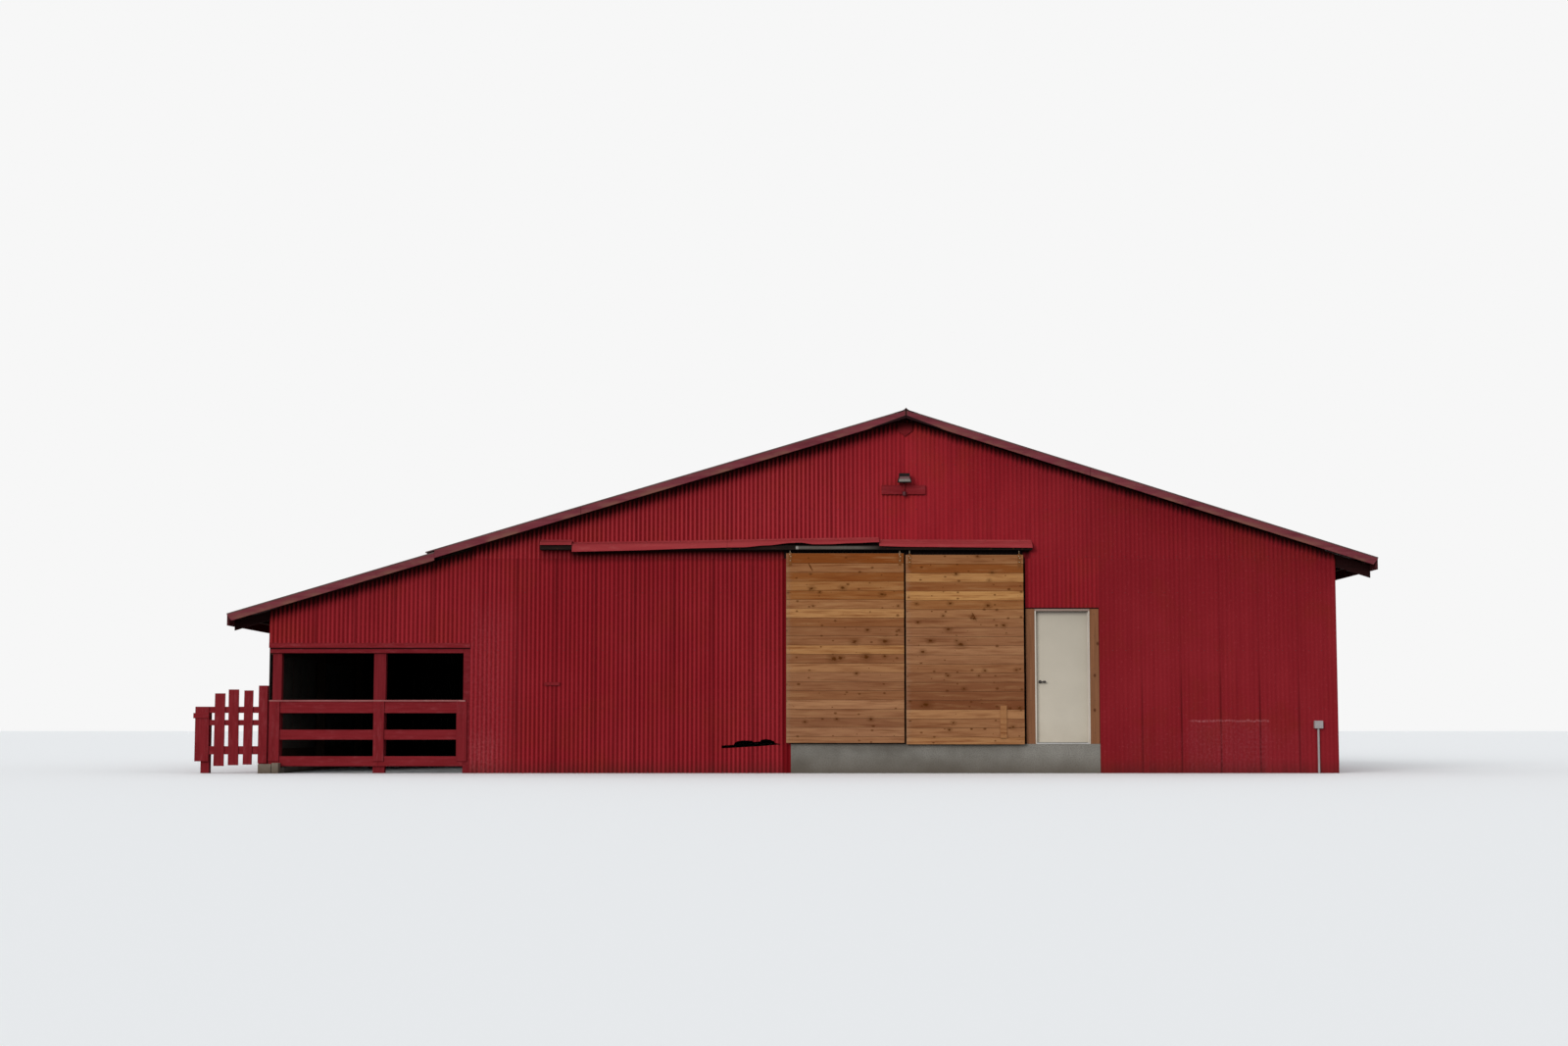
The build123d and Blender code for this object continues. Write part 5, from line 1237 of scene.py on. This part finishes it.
# Middle of the split in one board of each leaf.
LEAF_CRACKS = {"left_leaf": (RIDGE_X - 1.484, 3.185), "right_leaf": (RIDGE_X + 1.052, 2.420)}
# Height of each leaf's top board; the boards below are 5 1/2 in. wide, the lowest cut to fit.
TOP_BOARD = {"left_leaf": 0.155, "right_leaf": 0.143}
BOARD_PITCH = 0.1411
BOARD_ROWS = 21
LEAF_NAIL_RISE = 0.0008
random.seed(21)
for leaf in ("left_leaf", "right_leaf"):
    low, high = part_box(leaf + "_boards")
    face_y = high.y - BOARD
    knots = [(RIDGE_X + x, z, size) for x, z, size in LEAF_KNOTS[leaf]]
    leaf_cedar = cedar(leaf + "_cedar", knots, LEAF_CRACKS[leaf], low.x)
    bm = bmesh.new()
    tone_layer = bm.faces.layers.float.new("tone")
    warm_layer = bm.faces.layers.float.new("warm")
    tones, warms = LEAF_TONES[leaf]
    nails = []
    for row in range(BOARD_ROWS):
        z1 = high.z - (TOP_BOARD[leaf] + (row - 1) * BOARD_PITCH if row else 0)
        z0 = max(low.z, high.z - TOP_BOARD[leaf] - row * BOARD_PITCH)
        known = set(bm.faces)
        inset = random.uniform(0.0, 0.003)
        verts = block(bm, (low.x + inset, face_y + random.uniform(0.0, 0.0015), z0),
            (high.x - random.uniform(0.0, 0.003), high.y, z1 - 0.003))
        eased(bm, verts, 0.0022)
        for f in bm.faces:
            if f not in known:
                f[tone_layer] = (int(tones[row]) + random.uniform(-0.4, 0.4)) / 9
                f[warm_layer] = int(warms[row]) / 9
        for x in (low.x + 0.05, low.x + 0.09, high.x - 0.09, high.x - 0.05):
            z = (z0 + z1) / 2 + random.uniform(-0.02, 0.02)
            nails.append((x, face_y + LEAF_NAIL_RISE, z))
    if low.y < face_y - 0.01:
        known = set(bm.faces)
        x1 = high.x - 0.275
        eased(bm, block(bm, (x1 - 0.103, low.y, low.z + 0.094), (x1, face_y, low.z + 0.597)),
            0.002)
        for f in bm.faces:
            if f not in known:
                f[tone_layer], f[warm_layer] = 0.62, 0.45
        nails += [(x1 - 0.05, low.y + NAIL_RISE, low.z + z) for z in (0.15, 0.35, 0.54)]
    fixed_boards(bm, leaf + "_cedar_boards", leaf_cedar, [leaf + "_boards"], nails, leaf,
        brown_nails)
    wear_finish(leaf + "_frame", sawn_timber(leaf + "_ledges", (1.3, 34, 34), (0.3, 0.16, 0.08),
        (0.16, 0.075, 0.035), (0.22, 0.12, 0.065)))

strap_steel, shader, place = finish("strap_hanger_steel", 0.8, 0.0, 0.03)
rust_and_shadow = tinted(cloud(place, 25, 5), (0.225, 0.08, 0.022), (0.135, 0.05, 0.016))
up = place.z
plated = part_of(up, leaf_high.z, leaf_high.z + 0.002) * part_of(cloud(place, 60), 0.4, 0.55)
rust_and_shadow = tinted(plated, rust_and_shadow, (0.33, 0.28, 0.2))
# The strap above the leaf's top is painted near-black as painted shadow under the cover.
rust_and_shadow = tinted(part_of(up, leaf_high.z + 0.036, leaf_high.z + 0.044), rust_and_shadow, (0.012, 0.008, 0.007))
coat(shader, rust_and_shadow)
bright_bolts = mottled("bright_bolt_heads", 60, (0.34, 0.25, 0.14), (0.48, 0.4, 0.29), 0.5, 0.2,
    0.5)
for leaf in ("left_leaf", "right_leaf"):
    wear_finish(leaf + "_hangers", strap_steel)
    low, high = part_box(leaf + "_boards")
    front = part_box(leaf + "_hangers")[0].y
    bm = bmesh.new()
    for x in (low.x + 0.062, high.x - 0.062):
        places = ((-0.008, 0.022), (0.009, 0.052), (0.0, 0.115))
        spots = [(x + dx, front + NAIL_RISE, high.z - down) for dx, down in places]
        screw_heads(bm, spots, (0, -1, 0), 0.008)
    bolts = into_scene(bm, leaf + "_strap_bolts", bright_bolts)
    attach(bolts, leaf)


# The entry door: a flush white slab with a dark lever in a white frame, between two bare boards.
# The slab is sprayed steel, with a little dirt at its foot and painted shadow along its hinged edge
# and under the head.

def door_white(name, colour, dirty, more):
    """White paint with a faint stipple and some dirt, and painted light that makes it brightest low
    down on the left.

    more gives a share and a colour that goes over these."""
    made, shader, place = finish(name, 0.5, 0.0, 0.2)
    soft = cloud(place, 2.2, 5)
    stipple = cloud(place, 90, 3)
    low_dirt = part_of(place.z, 0.48, 0.85, dirty, 0.0)
    paint = tinted(part_of(soft, 0.3, 0.75, 0.0, 0.35), colour, (0.37, 0.33, 0.265))
    paint = tinted(low_dirt * soft, paint, (0.25, 0.2, 0.14))
    # Painted light: the white is brighter low down and on the left.
    painted_brightness = part_of(place.z, 0.6, 2.5, 1.16, 0.98)
    painted_brightness = painted_brightness * part_of(place.x, slab_low.x, slab_high.x, 1.06, 0.96)
    paint = node("VectorMath", {0: paint, "Scale": painted_brightness}, operation="SCALE")
    share, over = more(place)
    paint = tinted(share, paint, over)
    coat(shader, paint)
    bumped(shader, stipple, 0.0008, 0.5)
    return made


slab_low, slab_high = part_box("entry_slab")


def shadow_by_the_hinges(place):
    """Painted shadow along the slab's hinged edge and under the head."""
    edge = part_of(place.x, slab_high.x - 0.016, slab_high.x - 0.011, 0.0, 0.75)
    head = part_of(place.z, slab_high.z - 0.075, slab_high.z - 0.005, 0.0, 0.7)
    return edge.higher(head), (0.135, 0.115, 0.11)


def red_brown_on_the_head(place):
    """Darkens the frame's head towards red-brown."""
    share = part_of(place.z, slab_high.z, slab_high.z + 0.006, 0.0, 0.7)
    return share, (0.17, 0.07, 0.048)


wear_finish("entry_slab", door_white("slab_white", (0.475, 0.425, 0.345), 0.5,
    shadow_by_the_hinges))
wear_finish("entry_frame", door_white("frame_white", (0.56, 0.5, 0.43), 0.6, red_brown_on_the_head))
lever_bronze = mottled("lever_bronze", 60, (0.035, 0.03, 0.028), (0.06, 0.05, 0.045), 0.4, 0.7)
wear_finish("entry_lever", lever_bronze)
lever_low, lever_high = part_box("entry_lever")
middle = (lever_low.z + lever_high.z) / 2
bm = bmesh.new()
rings = []
for back, half in ((0.06, 0.0085), (0.048, 0.015), (0.034, 0.0175), (0.012, 0.0175),
        (0.0008, 0.011)):
    rings.append([(lever_high.x - back, lever_low.y + 0.0092 + 0.0085 * cos(k * pi / 8),
        middle + half * sin(k * pi / 8)) for k in range(16)])
swept(bm, rings)
grip = into_scene(bm, "entry_lever_grip", lever_bronze)
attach(grip, "entry_lever")
sill_metal, shader, place = finish("sill_metal", 0.4, 0.9)
scuffed = cloud(stretched(place, 3, 40, 1), 1.0, 4)
coat(shader, tinted(scuffed, (0.3, 0.29, 0.28), (0.5, 0.49, 0.47)))
wear_finish("entry_sill", sill_metal)

low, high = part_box("entry_casing")
casing_knots = ((high.x - 0.018, 2.002), (high.x - 0.069, 1.508), (high.x - 0.075, 0.971))
brown_board = sawn_timber("bare_brown_boards", (30, 30, 1.6), (0.275, 0.118, 0.056),
    (0.16, 0.066, 0.031), (0.215, 0.098, 0.05), knots=casing_knots)
entry_low, entry_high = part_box("entry_frame")
bm = bmesh.new()
plank(bm, (low.x, entry_low.x), (low.y, high.y), (low.z, high.z))
plank(bm, (entry_high.x + 0.004, high.x), (low.y, high.y), (low.z, high.z))
fixed_boards(bm, "bare_casing_boards", brown_board, ["entry_casing"],
    [(x, low.y + NAIL_RISE, z) for x in (low.x + 0.07, high.x - 0.07)
    for z in (0.62, 1.12, 1.62, 2.12, 2.46)], "root", nail_steel)


# The flood light over the doors: a black hood whose cheeks spread towards the foot, a dusty
# glass in two parts between them, a short painted arm, and a round sensor under the board.
low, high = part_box("flood_light")
LAMP_X = (low.x + high.x) / 2
lamp_back = FRONT - 0.068
lamp_front = low.y
lamp_foot = light_low + 0.172
lamp_head = high.z


def lamp_face(z):
    """How far forward the lamp reaches at a height: upright below, sloped back above."""
    return lamp_front + 0.040 * max(0.0, (z - lamp_foot - 0.050) / (lamp_head - lamp_foot - 0.050))


lamp_black = mottled("lamp_black", 30, (0.006, 0.005, 0.005), (0.02, 0.016, 0.014), 0.8, 0.0, 0.08)
lamp_glass, shader, place = finish("dusty_lamp_glass", 0.35, 0.0, 0.3)
upper = part_of(place.z, lamp_foot + 0.05, lamp_foot + 0.058)
seen = tinted(upper, (0.215, 0.19, 0.165), (0.13, 0.05, 0.052))
seen = tinted(part_of(cloud(place, 60, 4), 0.4, 0.7, 0.0, 0.5), seen, (0.085, 0.065, 0.06))
coat(shader, seen)

CHEEKS = ((lamp_foot, 0.108), (lamp_foot + 0.06, 0.098), (lamp_head - 0.05, 0.083),
    (lamp_head - 0.001, 0.083))
bm = bmesh.new()
for way in (-1, 1):
    swept(bm, [[(LAMP_X + way * x, y, z) for x, y in ((half, lamp_face(z) + 0.001),
        (half, lamp_back), (half - 0.01, lamp_back), (half - 0.01, lamp_face(z) + 0.001))]
        for z, half in CHEEKS])
swept(bm, [[(x, lamp_face(z) + 0.0005, z) for z in (lamp_head - 0.046, lamp_head)]
    + [(x, lamp_back, lamp_head), (x, lamp_back, lamp_head - 0.006),
    (x, lamp_face(lamp_head) + 0.007, lamp_head - 0.006),
    (x, lamp_face(lamp_head - 0.046) + 0.007, lamp_head - 0.046)]
    for x in (LAMP_X - 0.082, LAMP_X + 0.082)])
block(bm, (LAMP_X - 0.098, lamp_front + 0.001, lamp_foot),
    (LAMP_X + 0.098, lamp_front + 0.012, lamp_foot + 0.013))
block(bm, (LAMP_X - 0.082, lamp_back - 0.006, lamp_foot + 0.004),
    (LAMP_X + 0.082, lamp_back, lamp_head - 0.006))
head = into_scene(bm, "flood_light_hood", lamp_black)
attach(head, "root")
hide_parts("flood_light")
bm = bmesh.new()
glass_heights = (lamp_foot + 0.012, lamp_foot + 0.050, lamp_head - 0.044)
swept(bm, [[(LAMP_X + x, lamp_face(z) + y, z) for x, y in ((-half, 0.012), (half, 0.012),
    (half, 0.018), (-half, 0.018))] for z, half in zip(glass_heights, (0.096, 0.09, 0.074))])
glass = into_scene(bm, "flood_light_glass", lamp_glass)
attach(glass, "root")

bm = bmesh.new()
eased(bm, block(bm, (LAMP_X - 0.012, lamp_back, light_low + 0.0725),
    (LAMP_X + 0.012, FRONT - LUMBER, lamp_foot + 0.05)), 0.002)
eased(bm, block(bm, (LAMP_X - 0.008, lamp_back, light_low + 0.007),
    (LAMP_X + 0.008, FRONT - LUMBER, light_low + 0.072)), 0.002)
arm = into_scene(bm, "flood_light_arm", board_red_upright)
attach(arm, "root")
bm = bmesh.new()
rings = []
for share, z in ((0.55, 0.0), (0.9, 0.006), (1.0, 0.020), (1.0, 0.062), (0.8, 0.070)):
    rings.append([(LAMP_X + 0.03 * share * cos(k * pi / 10),
        lamp_back + 0.03 * share * sin(k * pi / 10), low.z + z) for k in range(20)])
swept(bm, rings)
sensor_dark = mottled("painted_sensor", 30, (0.04, 0.003, 0.005), (0.085, 0.006, 0.01), 0.6)
sensor = into_scene(bm, "flood_light_sensor", sensor_dark)
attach(sensor, "root")


# The grey electrical box near the right corner, and the conduit that it stands on. Their paint
# has gone chalky.

box_grey = mottled("box_grey", 18, (0.27, 0.24, 0.235), (0.36, 0.33, 0.325), 0.5, detail=5)
wear_finish("electrical_box", box_grey)


# The stage: a pale floor that the camera sees brighter than it lights, a soft white sky, one
# broad lamp from the left, and the camera where the photograph was taken from.

def seen_by_eye(tree):
    """1 for rays from the camera, and for those seen in gloss or through glass."""
    rays = tree.nodes.new("ShaderNodeLightPath").outputs
    camera, glossy, passed = [Shade(rays[f"Is {kind} Ray"]) for kind in ("Camera", "Glossy",
        "Transmission")]
    return camera.higher(glossy).higher(passed)


bm = bmesh.new()
bmesh.ops.create_grid(bm, x_segments=1, y_segments=1, size=400)
floor_paint, shader, place = finish("pale_floor", 0.9, 0.0, 0.05)
share = seen_by_eye(floor_paint.node_tree)
coat(shader, tinted(share, (0.22, 0.215, 0.2), (0.9, 0.9, 0.89)))
ground = into_scene(bm, "pale_floor", floor_paint)
ground.location.z = -0.002

world = bpy.data.worlds.new("soft_sky")
bpy.context.scene.world = world
world.use_nodes = True
sky = world.node_tree.nodes["Background"]
share = seen_by_eye(world.node_tree)
coat(sky, tinted(share, (0.93, 0.96, 1.0), (0.93, 0.93, 0.93)), "Color")
coat(sky, part_of(share, 0.0, 1.0, 0.8, 1.0), "Strength")

key = bpy.data.lights.new("broad_soft_lamp", "SUN")
key.energy = 1.60
key.angle = radians(24)
key_lamp = bpy.data.objects.new("broad_soft_lamp", key)
key_lamp.rotation_euler = (radians(74), 0, radians(-28))
bpy.context.scene.collection.objects.link(key_lamp)

camera = bpy.data.cameras.new("camera")
SENSOR_WIDTH = 36
PHOTO_WIDTH = 1600
FOCAL_LENGTH_IN_PIXELS = 2370
camera.sensor_width = SENSOR_WIDTH
camera.lens = SENSOR_WIDTH * FOCAL_LENGTH_IN_PIXELS / PHOTO_WIDTH
camera.clip_end = 1000
viewpoint = bpy.data.objects.new("camera", camera)
viewpoint.location = (-0.261, -43.425, 0.703)
viewpoint.rotation_euler = (radians(90 + 5.03), 0, radians(-0.36))
bpy.context.scene.collection.objects.link(viewpoint)
bpy.context.scene.camera = viewpoint
bpy.context.scene.view_settings.view_transform = "Standard"
